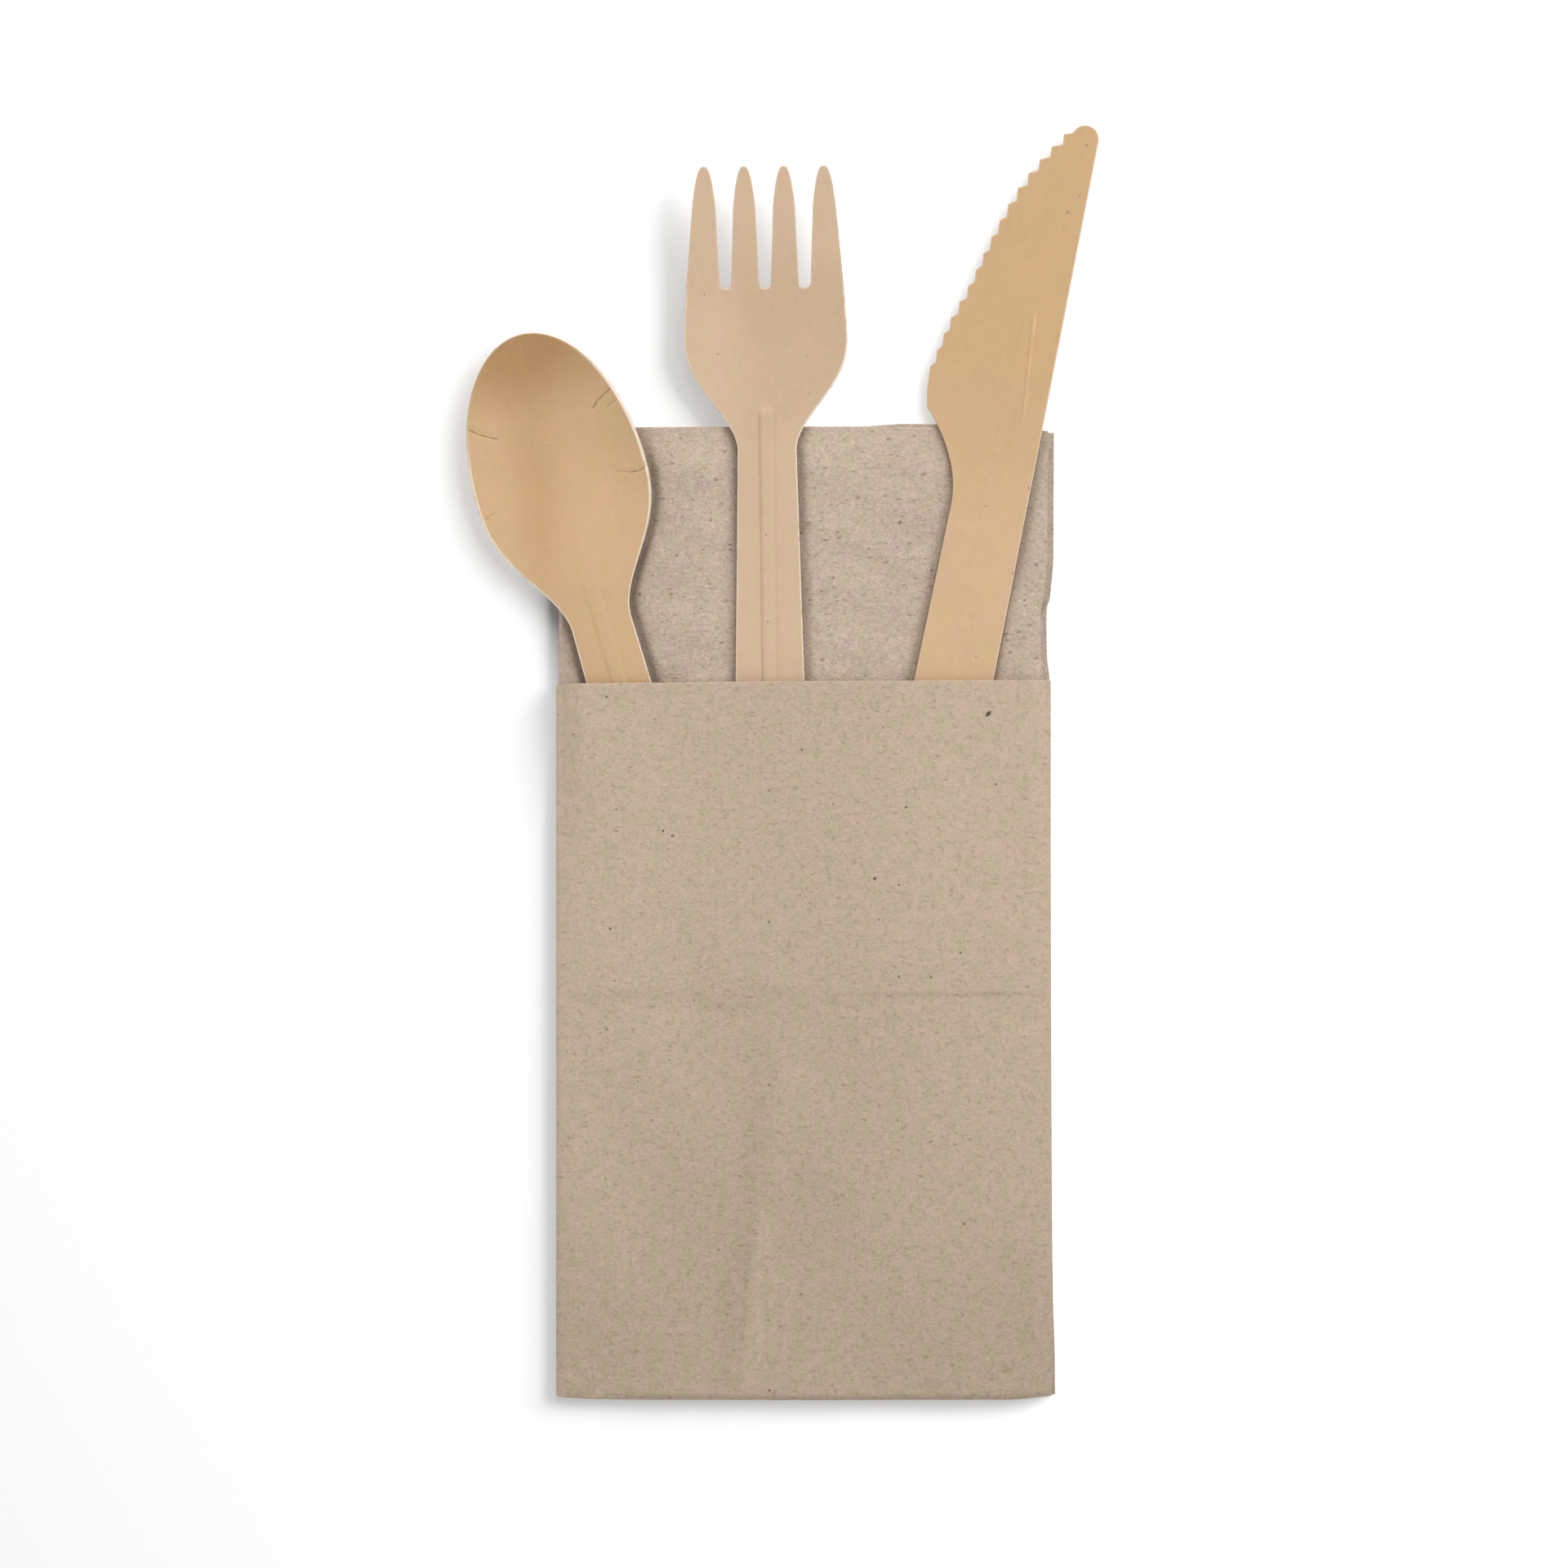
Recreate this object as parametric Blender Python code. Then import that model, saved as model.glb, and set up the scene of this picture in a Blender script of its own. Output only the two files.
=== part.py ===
# Paper cutlery set: a fork, a knife and a spoon pressed from board, in a folded paper napkin.
# Metres, +Z up. The set lies flat on a table with the tips of the cutlery towards +Y.
# The origin is on the table, under the middle of the folded napkin.

from math import cos, hypot, pi, radians, sin, sqrt

import bmesh
import bpy

# Napkin, cut square and folded in four across its width
PANEL_WIDTH = 0.1000          # width of the folded napkin
BACK_LENGTH = 0.1950          # height of the folded napkin
POCKET_DEPTH = 0.1440         # from the bottom fold up to the mouth of the pocket
LIP_LENGTH = 0.0630           # edge turned down inside the mouth
TISSUE = 0.0002               # thickness of one layer
LAYER_GAP = 0.00006           # air between two layers
RAW_EDGE_REACH = 0.0007       # the raw side edges stand this far past the folded side
FOLD_STEPS = 4                # facets round a fold
LIP_ROWS = 8
POCKET_ROWS = 9
COVER_COLUMNS = 20
SLOPE_STEP = 0.0001           # the slope of the front is taken over twice this
SIDE_RISE = (0.17, 0.38, 0.67)          # columns in the climb from a side fold, as shares of it
NAPKIN_COLOUR = (0.500, 0.398, 0.302)
NAPKIN_ROUGHNESS = 0.9

# Front of the pocket, raised over the handles
SIDE_REACH = 0.0042           # the front climbs from a side fold to its full height in this
DRAPE_MARGIN = 0.0016         # flat stretch beside a handle before the front falls away
DRAPE_REACH = 0.0200          # the front falls away beside a handle over this
END_REACH = 0.0360            # and past the end of a handle over this
DRAPE_ROOM = 0.0005           # air between a handle and the front above it
TENT_POWER = 4                # the higher, the more sharply the front bends over each handle

# Board of the cutlery, its pressed rib and the rounded end of a handle
BOARD = 0.0009                # thickness of the board
CLEARANCE = 0.0003            # gap kept where one piece rests on another
RIB_TOP_WIDTH = 0.0019        # flat top of the rib
RIB_FOOT_WIDTH = 0.0032       # between the creases on its two sides
RIB_RAMP = 0.0040             # length in which the rib rises at each end
RIB_END_MARGIN = 0.0120       # from the end of the rib to the end of the handle
END_ROUND = 0.0070            # length of the rounded end of a handle
END_ANGLE = 80                # degrees of that round, up to a short flat across the end
HANDLE_ROWS = 10
END_ROWS = 6
ROW_ROOM = 0.0010             # rows nearer than this to an end of the rib are left out
DOUBLED = 0.00005             # rows nearer to each other than this are one row
SMOOTH_ANGLE = 35             # degrees; edges sharper than this stay sharp in the shading
BOARD_ROUGHNESS = 0.75

# Fork
FORK_OUT = 0.1028             # from the mouth of the pocket to the tips
FORK_TURN = 0.72              # degrees, anticlockwise seen from above
FORK_LENGTH = 0.1600
HANDLE_ROOM = 0.0004          # between the fork's handle and the spoon's
TINES = 4
TINE_PITCH = 0.00795
TINE_POINT_LENGTH = 0.0080    # pointed stretch of a tine
TINE_POINT_HALF = 0.0022      # half width of a tine where its point begins
OUTER_SIDE_HALF = 0.00245     # from the middle of an outer tine to the fork's side there
TINE_POINT_POWER = 0.37       # how round the point is
TINE_POINT_ROWS = (0.012, 0.05, 0.13, 0.28, 0.56, 1.0)    # rows in the point, as shares of it
SLOT_DEPTH = 0.0229           # from the tips to the middle of a slot's round foot
SLOT_FOOT_HALF = 0.0012
SLOT_FOOT_STEPS = 8
FORK_WIDEST = 0.0336          # from the tips to the widest place of the head
FORK_HEAD_HALF = 0.0164       # half width there
FORK_SIDE_POWER = 1.20        # how soon the sides of the head reach it
FORK_HEAD_ROWS = 6
FORK_SHOULDER_ROWS = 9
FORK_SIDE_COLUMNS = (0.35, 0.7, 1.0)      # between the rib and a side, as shares of the way
FORK_SHOULDER_LEAN = 1.2      # how late the shoulder falls away to the neck
FORK_NECK = 0.0568            # from the tips to the neck
FORK_NECK_HALF = 0.0059
FORK_END_HALF = 0.0080        # half width at the end of the handle
FORK_RIB_START = 0.0480
FORK_RIB_HEIGHT = 0.0006
FORK_CURL_RISE = 0.0022       # the tips curl up by this
FORK_CURL_LENGTH = 0.0300
FORK_DISH = 0.0014            # the head dips below the neck by this
FORK_DISH_START = 0.0080
FORK_DISH_END = 0.0580
FORK_CROWN = 0.5              # share of the dish that is missing at the sides of the head
FORK_REST = 0.0900            # from here to its end the handle lies flat
FORK_COLOUR = (0.640, 0.468, 0.300)

# Spoon
SPOON_OUT = 0.0717            # from the mouth of the pocket to the tip, along the spoon
SPOON_INSET = 0.0126          # from the napkin's left side to the spoon's middle at the mouth
SPOON_TURN = 16.0
SPOON_LENGTH = 0.1600
BOWL_FRONT = 0.0300           # from the tip to the widest place, half an ellipse
BOWL_HALF_WIDTH = 0.0174
BOWL_DEPTH = 0.0046
BOWL_DEEPEST = 0.0260         # from the tip to the deepest place
BOWL_END = 0.0540             # the dish runs out here
BOWL_ROWS = 13
BOWL_TIP_ANGLE = 5            # degrees of the ellipse that a short flat across the tip takes
SPOON_SHOULDER_ROWS = 12
SPOON_SIDE_COLUMNS = (0.25, 0.5, 0.75, 1.0)
SPOON_SHOULDER_LEAN = 1.3
SPOON_NECK = 0.0600
SPOON_NECK_HALF = 0.0061
SPOON_END_HALF = 0.0076
SPOON_RIB_START = 0.0490
SPOON_RIB_HEIGHT = 0.0005
SPOON_REST = 0.1100           # from here to its end the handle lies flat
SPOON_COLOUR = (0.584, 0.407, 0.235)

# Knife: its spine is straight, and widths are counted from the spine
KNIFE_OUT = 0.1129            # from the mouth of the pocket to the tip, along the spine
KNIFE_INSET = 0.0123          # from the napkin's right side to the spine at the mouth
KNIFE_TURN = -11.05
KNIFE_LENGTH = 0.1650
KNIFE_TIP_RADIUS = 0.00275
TIP_ARC = (10, 50)            # degrees of the round tip on the side of the teeth
TIP_ROWS = 4
TEETH = 16
FIRST_TOOTH = 0.0025          # from the tip to the crest of the first tooth
TOOTHED_LENGTH = 0.0508       # from there to the crest of the last tooth
TOOTH_FALL = 0.00018          # the edge falls back by this before it steps out to the next tooth
TOOTH_LEDGE = 0.72            # share of the way to the next crest along which it falls back
FIRST_STEP = 0.0004           # before the first crest, where the edge begins to step out to it
# Place of a crest as a share of the toothed edge, against its number as a share of the last one:
# the teeth stand closer together towards the tip
TOOTH_PLACES = ((0.0, 0.0), (0.2, 0.178), (0.5, 0.489), (1.0, 1.0))
# Width at the crests of the teeth, against the share of the toothed edge
CRESTS = ((0.0, 0.0071), (0.11, 0.0107), (0.24, 0.0140), (0.38, 0.0164), (0.52, 0.0183),
          (0.66, 0.0201), (0.79, 0.0222), (1.0, 0.0245))
# Width behind the last crest, against the distance from it: belly, then the heel's corner
BELLY = ((0.0050, 0.0242), (0.0082, 0.0236), (0.0090, 0.0228), (0.0105, 0.0215))
HEEL_RUN = 0.0160             # from the heel's corner to the neck
HEEL_ROWS = 6
KNIFE_SIDE_COLUMNS = (1.0,)
KNIFE_NECK_WIDTH = 0.0151
KNIFE_END_WIDTH = 0.0163
KNIFE_RIB_HEIGHT = 0.0003
KNIFE_RIB_START = 0.0390
KNIFE_RIB_FORE = 0.0066       # from the spine to the rib where the rib begins
KNIFE_RIB_AFT = 0.0079        # and along the handle
KNIFE_RIB_STRAIGHT = 0.0760   # from the tip to where the rib has reached its place in the handle
KNIFE_COLOUR = (0.640, 0.430, 0.240)

# What follows from the sizes above
LAYER_PITCH = TISSUE + LAYER_GAP
PANEL_TOP = TISSUE / 2 + 9 * LAYER_PITCH        # middle of the top panel's back layer
NAPKIN_TOP = PANEL_TOP + TISSUE / 2
SEAT = NAPKIN_TOP + CLEARANCE + BOARD / 2       # middle of a board that lies on the napkin
LIP_UNDERSIDE = PANEL_TOP + LAYER_PITCH - TISSUE / 2
MOUTH = POCKET_DEPTH - BACK_LENGTH / 2          # Y of the mouth of the pocket
OUTER_TINE = TINE_PITCH * (TINES - 1) / 2
FORK_LOWEST = (FORK_DISH_START + FORK_DISH_END) / 2
LAST_CREST = FIRST_TOOTH + TOOTHED_LENGTH
HEEL = LAST_CREST + BELLY[-1][0]


# Numbers and curves

def spread(start, end, count):
    return [start + (end - start) * i / count for i in range(count + 1)]


def smooth_step(t):
    t = min(max(t, 0.0), 1.0)
    return t * t * (3.0 - 2.0 * t)


def slope_at(points, i):
    # Slope of a smooth curve at one of its points, level where the points turn back
    if i == 0 or i == len(points) - 1:
        first, last = (points[0], points[1]) if i == 0 else (points[-2], points[-1])
        return (last[1] - first[1]) / (last[0] - first[0])
    before = (points[i][1] - points[i - 1][1]) / (points[i][0] - points[i - 1][0])
    after = (points[i + 1][1] - points[i][1]) / (points[i + 1][0] - points[i][0])
    if before * after <= 0.0:
        return 0.0
    return 2.0 * before * after / (before + after)


def through(points, s):
    # Height at s of a smooth curve through the points, without overshoot
    i = 0
    while i < len(points) - 2 and s > points[i + 1][0]:
        i += 1
    (s0, v0), (s1, v1) = points[i], points[i + 1]
    span = s1 - s0
    t = min(max((s - s0) / span, 0.0), 1.0)
    bend0 = slope_at(points, i) * span
    bend1 = slope_at(points, i + 1) * span
    straight = v0 + (v1 - v0) * t * t * (3.0 - 2.0 * t)
    return straight + bend0 * t * (1.0 - t) ** 2 - bend1 * t * t * (1.0 - t)


def shoulder(s, widest, neck, wide_half, neck_half, lean):
    # Half width between the widest place of a head and its neck: a leaning S
    t = min(max((s - widest) / (neck - widest), 0.0), 1.0)
    return neck_half + (wide_half - neck_half) * (1.0 + cos(pi * t ** lean)) / 2


def handle_half(s, neck, length, neck_half, end_half):
    # Half width of a handle that widens evenly from its neck to its rounded end
    t = (s - neck) / (length - END_ROUND - neck)
    return (neck_half + (end_half - neck_half) * min(t, 1.0)) * end_rounding(s, length)


def end_rounding(s, length):
    # Share of the handle's width that is left near its rounded end
    past = min(max((s - (length - END_ROUND)) / END_ROUND, 0.0), sin(radians(END_ANGLE)))
    return sqrt(1.0 - past * past)


def handle_stations(neck, length):
    angles = spread(0.0, radians(END_ANGLE), END_ROWS)
    ends = [length - END_ROUND + END_ROUND * sin(angle) for angle in angles]
    return spread(neck, length - END_ROUND, HANDLE_ROWS) + ends


def bow(s, height, lowest, rest):
    # A head lies on its lowest place, and from there the board bows up and down again to rest
    return height * (1.0 - smooth_step((s - lowest) / (rest - lowest)))


# Pressed board

def rib_height(s, offset, start, end, height):
    # A flat-topped rib with sloping sides, which rises and falls along a ramp at each end
    foot = (RIB_FOOT_WIDTH - RIB_TOP_WIDTH) / 2
    side = min(max((RIB_FOOT_WIDTH / 2 - abs(offset)) / foot, 0.0), 1.0)
    along = min((s - start) / RIB_RAMP, (end - s) / RIB_RAMP, 1.0)
    return height * side * max(along, 0.0)


def rib_stations(start, end):
    return [start, start + RIB_RAMP, end - RIB_RAMP, end]


def in_order(stations, fixed):
    # The stations in order, without doubles and without those that crowd one of the fixed ones
    kept = [s for s in stations if all(abs(s - mark) > ROW_ROOM for mark in fixed)]
    ordered = sorted(kept + fixed)
    return [s for s, before in zip(ordered, [-1.0] + ordered) if s - before > DOUBLED]


def press_board(name, stations, left, right, rib_centre, shares, height):
    # A strip of board lofted from the tip (s = 0) to the handle's end along -Y. Each row runs
    # from the left edge to the right one and passes through the rib's four creases.
    bm = bmesh.new()
    rows = []
    for s in stations:
        low, high, middle = left(s), right(s), rib_centre(s)
        tight = min((high - middle) / 2, (middle - low) / 2, RIB_FOOT_WIDTH / 2)
        creases = [-tight, -tight * RIB_TOP_WIDTH / RIB_FOOT_WIDTH,
                   tight * RIB_TOP_WIDTH / RIB_FOOT_WIDTH, tight]
        places = [middle + tight + (high - middle - tight) * share for share in shares]
        across = [middle - tight + (low - middle + tight) * share for share in reversed(shares)]
        across += [middle + crease for crease in creases] + places
        rows.append([bm.verts.new((x, -s, height(s, x))) for x in across])
    for row, lower in zip(rows, rows[1:]):
        for i in range(len(row) - 1):
            bm.faces.new((row[i], lower[i], lower[i + 1], row[i + 1]))
    board = new_object(name, bm)
    thickness = board.modifiers.new("board", "SOLIDIFY")
    thickness.thickness = BOARD
    thickness.offset = 0.0
    thickness.use_even_offset = True
    thickness.use_quality_normals = True
    return board


def new_object(name, bm):
    mesh = bpy.data.meshes.new(name)
    bm.normal_update()
    bm.to_mesh(mesh)
    bm.free()
    obj = bpy.data.objects.new(name, mesh)
    bpy.context.scene.collection.objects.link(obj)
    return obj


def paint(obj, name, colour, roughness=BOARD_ROUGHNESS):
    material = bpy.data.materials.new(name)
    material.use_nodes = True
    shader = material.node_tree.nodes["Principled BSDF"]
    shader.inputs["Base Color"].default_value = (*colour, 1.0)
    shader.inputs["Roughness"].default_value = roughness
    shader.inputs["Metallic"].default_value = 0.0
    obj.data.materials.append(material)


def place(obj, plan):
    tip, turn = plan
    obj.location = (tip[0], tip[1], SEAT)
    obj.rotation_euler = (0.0, 0.0, radians(turn))


def plan_point(plan, s, x):
    # Where a point of a piece, s behind its tip and x to the right, lies on the table
    tip, turn = plan
    angle = radians(turn)
    return (tip[0] + s * sin(angle) + x * cos(angle), tip[1] - s * cos(angle) + x * sin(angle))


def plan_through_mouth(x, out, turn):
    # Tip and turn of a piece whose axis crosses the mouth at x and stands out of it
    angle = radians(turn)
    return (x - out * sin(angle), MOUTH + out * cos(angle)), turn


def spoon_plan():
    return plan_through_mouth(SPOON_INSET - PANEL_WIDTH / 2, SPOON_OUT, SPOON_TURN)


def knife_plan():
    return plan_through_mouth(PANEL_WIDTH / 2 - KNIFE_INSET, KNIFE_OUT, KNIFE_TURN)


def fork_plan():
    # The fork lies beside the spoon: the place of its outline nearest to the spoon's handle
    # leaves HANDLE_ROOM to it
    angle = radians(SPOON_TURN)
    start = plan_through_mouth(0.0, FORK_OUT, FORK_TURN)
    (tip_x, tip_y), turn = spoon_plan()
    nearest = None
    for s in handle_stations(FORK_NECK, FORK_LENGTH):
        x, y = plan_point(start, s, -fork_half(s))
        beside = (x - tip_x) * cos(angle) + (y - tip_y) * sin(angle)
        nearest = beside if nearest is None else min(nearest, beside)
    x = (SPOON_END_HALF + HANDLE_ROOM - nearest) / cos(angle)
    return plan_through_mouth(x, FORK_OUT, FORK_TURN)


# Fork

def tine_half(s):
    # Half width of a tine: a rounded point, then straight sides down to the foot of the slot
    if s < TINE_POINT_LENGTH:
        return TINE_POINT_HALF * (s / TINE_POINT_LENGTH) ** TINE_POINT_POWER
    foot_half = TINE_PITCH / 2 - SLOT_FOOT_HALF
    t = min((s - TINE_POINT_LENGTH) / (SLOT_DEPTH - TINE_POINT_LENGTH), 1.0)
    return TINE_POINT_HALF + (foot_half - TINE_POINT_HALF) * t


def fork_half(s):
    # Half width of the fork: points of the outer tines, sides of the head, shoulder, handle
    if s < TINE_POINT_LENGTH:
        return OUTER_TINE + tine_half(s) * OUTER_SIDE_HALF / TINE_POINT_HALF
    if s < FORK_WIDEST:
        t = (s - TINE_POINT_LENGTH) / (FORK_WIDEST - TINE_POINT_LENGTH)
        start = OUTER_TINE + OUTER_SIDE_HALF
        return start + (FORK_HEAD_HALF - start) * (1.0 - (1.0 - t) ** FORK_SIDE_POWER)
    if s < FORK_NECK:
        return shoulder(s, FORK_WIDEST, FORK_NECK, FORK_HEAD_HALF, FORK_NECK_HALF,
                        FORK_SHOULDER_LEAN)
    return handle_half(s, FORK_NECK, FORK_LENGTH, FORK_NECK_HALF, FORK_END_HALF)


def fork_height(s, x):
    curl = FORK_CURL_RISE * max(1.0 - s / FORK_CURL_LENGTH, 0.0) ** 2
    t = min(max((s - FORK_DISH_START) / (FORK_DISH_END - FORK_DISH_START), 0.0), 1.0)
    dish = FORK_DISH * (1.0 - cos(2 * pi * t)) / 2
    crown = 1.0 - FORK_CROWN * (x / FORK_HEAD_HALF) ** 2
    rib = rib_height(s, x, FORK_RIB_START, FORK_LENGTH - RIB_END_MARGIN, FORK_RIB_HEIGHT)
    return bow(s, FORK_DISH, FORK_LOWEST, FORK_REST) + curl - dish * crown + rib


def slot_cutter(index):
    # One slot, open past the tips, with a round foot
    centre = (index - (TINES - 2) / 2) * TINE_PITCH
    rows = [TINE_POINT_LENGTH * share for share in TINE_POINT_ROWS]
    side = [(TINE_PITCH / 2 - tine_half(s), s) for s in rows]
    side.insert(0, (side[0][0], -TINE_PITCH))
    foot = [(SLOT_FOOT_HALF * cos(a), SLOT_DEPTH + SLOT_FOOT_HALF * sin(a))
            for a in spread(0.0, pi, SLOT_FOOT_STEPS)]
    outline = side + foot + [(-x, s) for x, s in reversed(side)]
    bm = bmesh.new()
    low = -FORK_HEAD_HALF
    face = bm.faces.new([bm.verts.new((centre + x, -s, low)) for x, s in outline])
    raised = bmesh.ops.extrude_face_region(bm, geom=[face])["geom"]
    tops = [item for item in raised if isinstance(item, bmesh.types.BMVert)]
    bmesh.ops.translate(bm, verts=tops, vec=(0.0, 0.0, -2 * low))
    bmesh.ops.recalc_face_normals(bm, faces=bm.faces)
    cutter = new_object("slot_cutter_%d" % (index + 1), bm)
    cutter.display_type = "WIRE"
    cutter.hide_render = True
    return cutter


def make_fork():
    points = [TINE_POINT_LENGTH * share for share in TINE_POINT_ROWS]
    head = spread(TINE_POINT_LENGTH, FORK_WIDEST, FORK_HEAD_ROWS)
    neck = spread(FORK_WIDEST, FORK_NECK, FORK_SHOULDER_ROWS)
    handle = handle_stations(FORK_NECK, FORK_LENGTH)
    rib = rib_stations(FORK_RIB_START, FORK_LENGTH - RIB_END_MARGIN)
    fork = press_board("fork", in_order(points + head + neck + handle, rib),
                       lambda s: -fork_half(s), fork_half,
                       lambda s: 0.0, FORK_SIDE_COLUMNS, fork_height)
    for index in range(TINES - 1):
        cutter = slot_cutter(index)
        cutter.parent = fork
        cut = fork.modifiers.new("slot", "BOOLEAN")
        cut.operation = "DIFFERENCE"
        cut.solver = "EXACT"
        cut.object = cutter
    paint(fork, "fork_board", FORK_COLOUR)
    place(fork, fork_plan())
    return fork


# Spoon

def spoon_half(s):
    # Half width of the spoon: half an ellipse, shoulder, handle
    if s < BOWL_FRONT:
        return BOWL_HALF_WIDTH * sqrt(1.0 - (1.0 - s / BOWL_FRONT) ** 2)
    if s < SPOON_NECK:
        return shoulder(s, BOWL_FRONT, SPOON_NECK, BOWL_HALF_WIDTH, SPOON_NECK_HALF,
                        SPOON_SHOULDER_LEAN)
    return handle_half(s, SPOON_NECK, SPOON_LENGTH, SPOON_NECK_HALF, SPOON_END_HALF)


def spoon_bow(s):
    return bow(s, BOWL_DEPTH, BOWL_DEEPEST, SPOON_REST)


def spoon_height(s, x):
    # A dish that is steep behind the tip and runs out gently in the neck, plus the rib
    if s < BOWL_DEEPEST:
        along = 1.0 - (1.0 - s / BOWL_DEEPEST) ** 2
    else:
        t = min((s - BOWL_DEEPEST) / (BOWL_END - BOWL_DEEPEST), 1.0)
        along = (1.0 + cos(pi * t)) / 2
    across = 1.0 - (x / spoon_half(s)) ** 2
    rib = rib_height(s, x, SPOON_RIB_START, SPOON_LENGTH - RIB_END_MARGIN, SPOON_RIB_HEIGHT)
    return spoon_bow(s) + rib - BOWL_DEPTH * along * across


def make_spoon():
    front = [BOWL_FRONT * (1.0 - cos(a))
             for a in spread(radians(BOWL_TIP_ANGLE), pi / 2, BOWL_ROWS)]
    neck = spread(BOWL_FRONT, SPOON_NECK, SPOON_SHOULDER_ROWS)
    handle = handle_stations(SPOON_NECK, SPOON_LENGTH)
    rib = rib_stations(SPOON_RIB_START, SPOON_LENGTH - RIB_END_MARGIN)
    spoon = press_board("spoon", in_order(front + neck + handle, rib),
                        lambda s: -spoon_half(s), spoon_half,
                        lambda s: 0.0, SPOON_SIDE_COLUMNS, spoon_height)
    paint(spoon, "spoon_board", SPOON_COLOUR)
    place(spoon, spoon_plan())
    return spoon


# Knife

def crest(k):
    # Distance behind the tip and width at the crest of one tooth
    share = through(TOOTH_PLACES, k / (TEETH - 1))
    return FIRST_TOOTH + share * TOOTHED_LENGTH, through(CRESTS, share)


def blade_points():
    # Distance behind the tip and width from the spine: tip, teeth, belly and the heel's corner.
    # Behind each crest the edge falls back a little, and then it steps out to the next one.
    points = [(KNIFE_TIP_RADIUS * (1.0 - cos(a)), KNIFE_TIP_RADIUS * (1.0 + sin(a)))
              for a in spread(radians(TIP_ARC[0]), radians(TIP_ARC[1]), TIP_ROWS)]
    points.append((FIRST_TOOTH - FIRST_STEP, 2 * KNIFE_TIP_RADIUS))
    for k in range(TEETH - 1):
        s, width = crest(k)
        pitch = crest(k + 1)[0] - s
        points.append((s, width))
        points.append((s + TOOTH_LEDGE * pitch, width - TOOTH_FALL))
    points.append(crest(TEETH - 1))
    return points + [(LAST_CREST + behind, width) for behind, width in BELLY]


def knife_handle_width(s):
    # From the heel's corner a hollow curve runs to the neck, and then the handle widens evenly
    neck = HEEL + HEEL_RUN
    if s < neck:
        t = (neck - s) / HEEL_RUN
        return KNIFE_NECK_WIDTH + (BELLY[-1][1] - KNIFE_NECK_WIDTH) * t * t
    t = min((s - neck) / (KNIFE_LENGTH - END_ROUND - neck), 1.0)
    return KNIFE_NECK_WIDTH + (KNIFE_END_WIDTH - KNIFE_NECK_WIDTH) * t


def knife_edge(s):
    # Width of the knife on the side of its teeth, counted from the spine
    if s >= HEEL:
        return knife_handle_width(s) * (1.0 + end_rounding(s, KNIFE_LENGTH)) / 2
    points = blade_points()
    i = 0
    while i < len(points) - 2 and s > points[i + 1][0]:
        i += 1
    (s0, v0), (s1, v1) = points[i], points[i + 1]
    t = min(max((s - s0) / (s1 - s0), 0.0), 1.0)
    return v0 + (v1 - v0) * t


def knife_spine(s):
    # The spine is straight, apart from the round tip and the rounded end
    if s < KNIFE_TIP_RADIUS:
        return -KNIFE_TIP_RADIUS * (1.0 - sqrt(1.0 - (1.0 - s / KNIFE_TIP_RADIUS) ** 2))
    if s < HEEL:
        return 0.0
    return -knife_handle_width(s) * (1.0 - end_rounding(s, KNIFE_LENGTH)) / 2


def knife_rib(s):
    # Along the blade the rib leans towards the spine, and at the tip it follows the tip's middle
    t = min(max((s - KNIFE_RIB_START) / (KNIFE_RIB_STRAIGHT - KNIFE_RIB_START), 0.0), 1.0)
    place_in_blade = KNIFE_RIB_FORE + (KNIFE_RIB_AFT - KNIFE_RIB_FORE) * t
    middle = (knife_edge(s) - knife_spine(s)) / 2
    return -min(place_in_blade, middle)


def knife_height(s, x):
    return rib_height(s, x - knife_rib(s), KNIFE_RIB_START, KNIFE_LENGTH - RIB_END_MARGIN,
                      KNIFE_RIB_HEIGHT)


def make_knife():
    blade = [s for s, width in blade_points()]
    heel = spread(HEEL, HEEL + HEEL_RUN, HEEL_ROWS)
    handle = handle_stations(HEEL + HEEL_RUN, KNIFE_LENGTH)
    rib = rib_stations(KNIFE_RIB_START, KNIFE_LENGTH - RIB_END_MARGIN)
    knife = press_board("knife", in_order(blade + heel + handle, rib),
                        lambda s: -knife_edge(s), knife_spine, knife_rib, KNIFE_SIDE_COLUMNS,
                        knife_height)
    paint(knife, "knife_board", KNIFE_COLOUR)
    place(knife, knife_plan())
    return knife


# Napkin

def handle_cover(x, y, plan, middle, half_width, length, top):
    # How far one handle lifts the front of the pocket above its level at the folds
    (tip_x, tip_y), turn = plan
    angle = radians(turn)
    s = (x - tip_x) * sin(angle) - (y - tip_y) * cos(angle)
    w = (x - tip_x) * cos(angle) + (y - tip_y) * sin(angle) - middle
    beside = (abs(w) - half_width - DRAPE_MARGIN) / DRAPE_REACH
    past = (s - length - DRAPE_MARGIN) / END_REACH
    lift = top(min(s, length)) + DRAPE_ROOM - LIP_UNDERSIDE
    return lift * (1.0 - smooth_step(beside)) * (1.0 - smooth_step(past))


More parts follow.
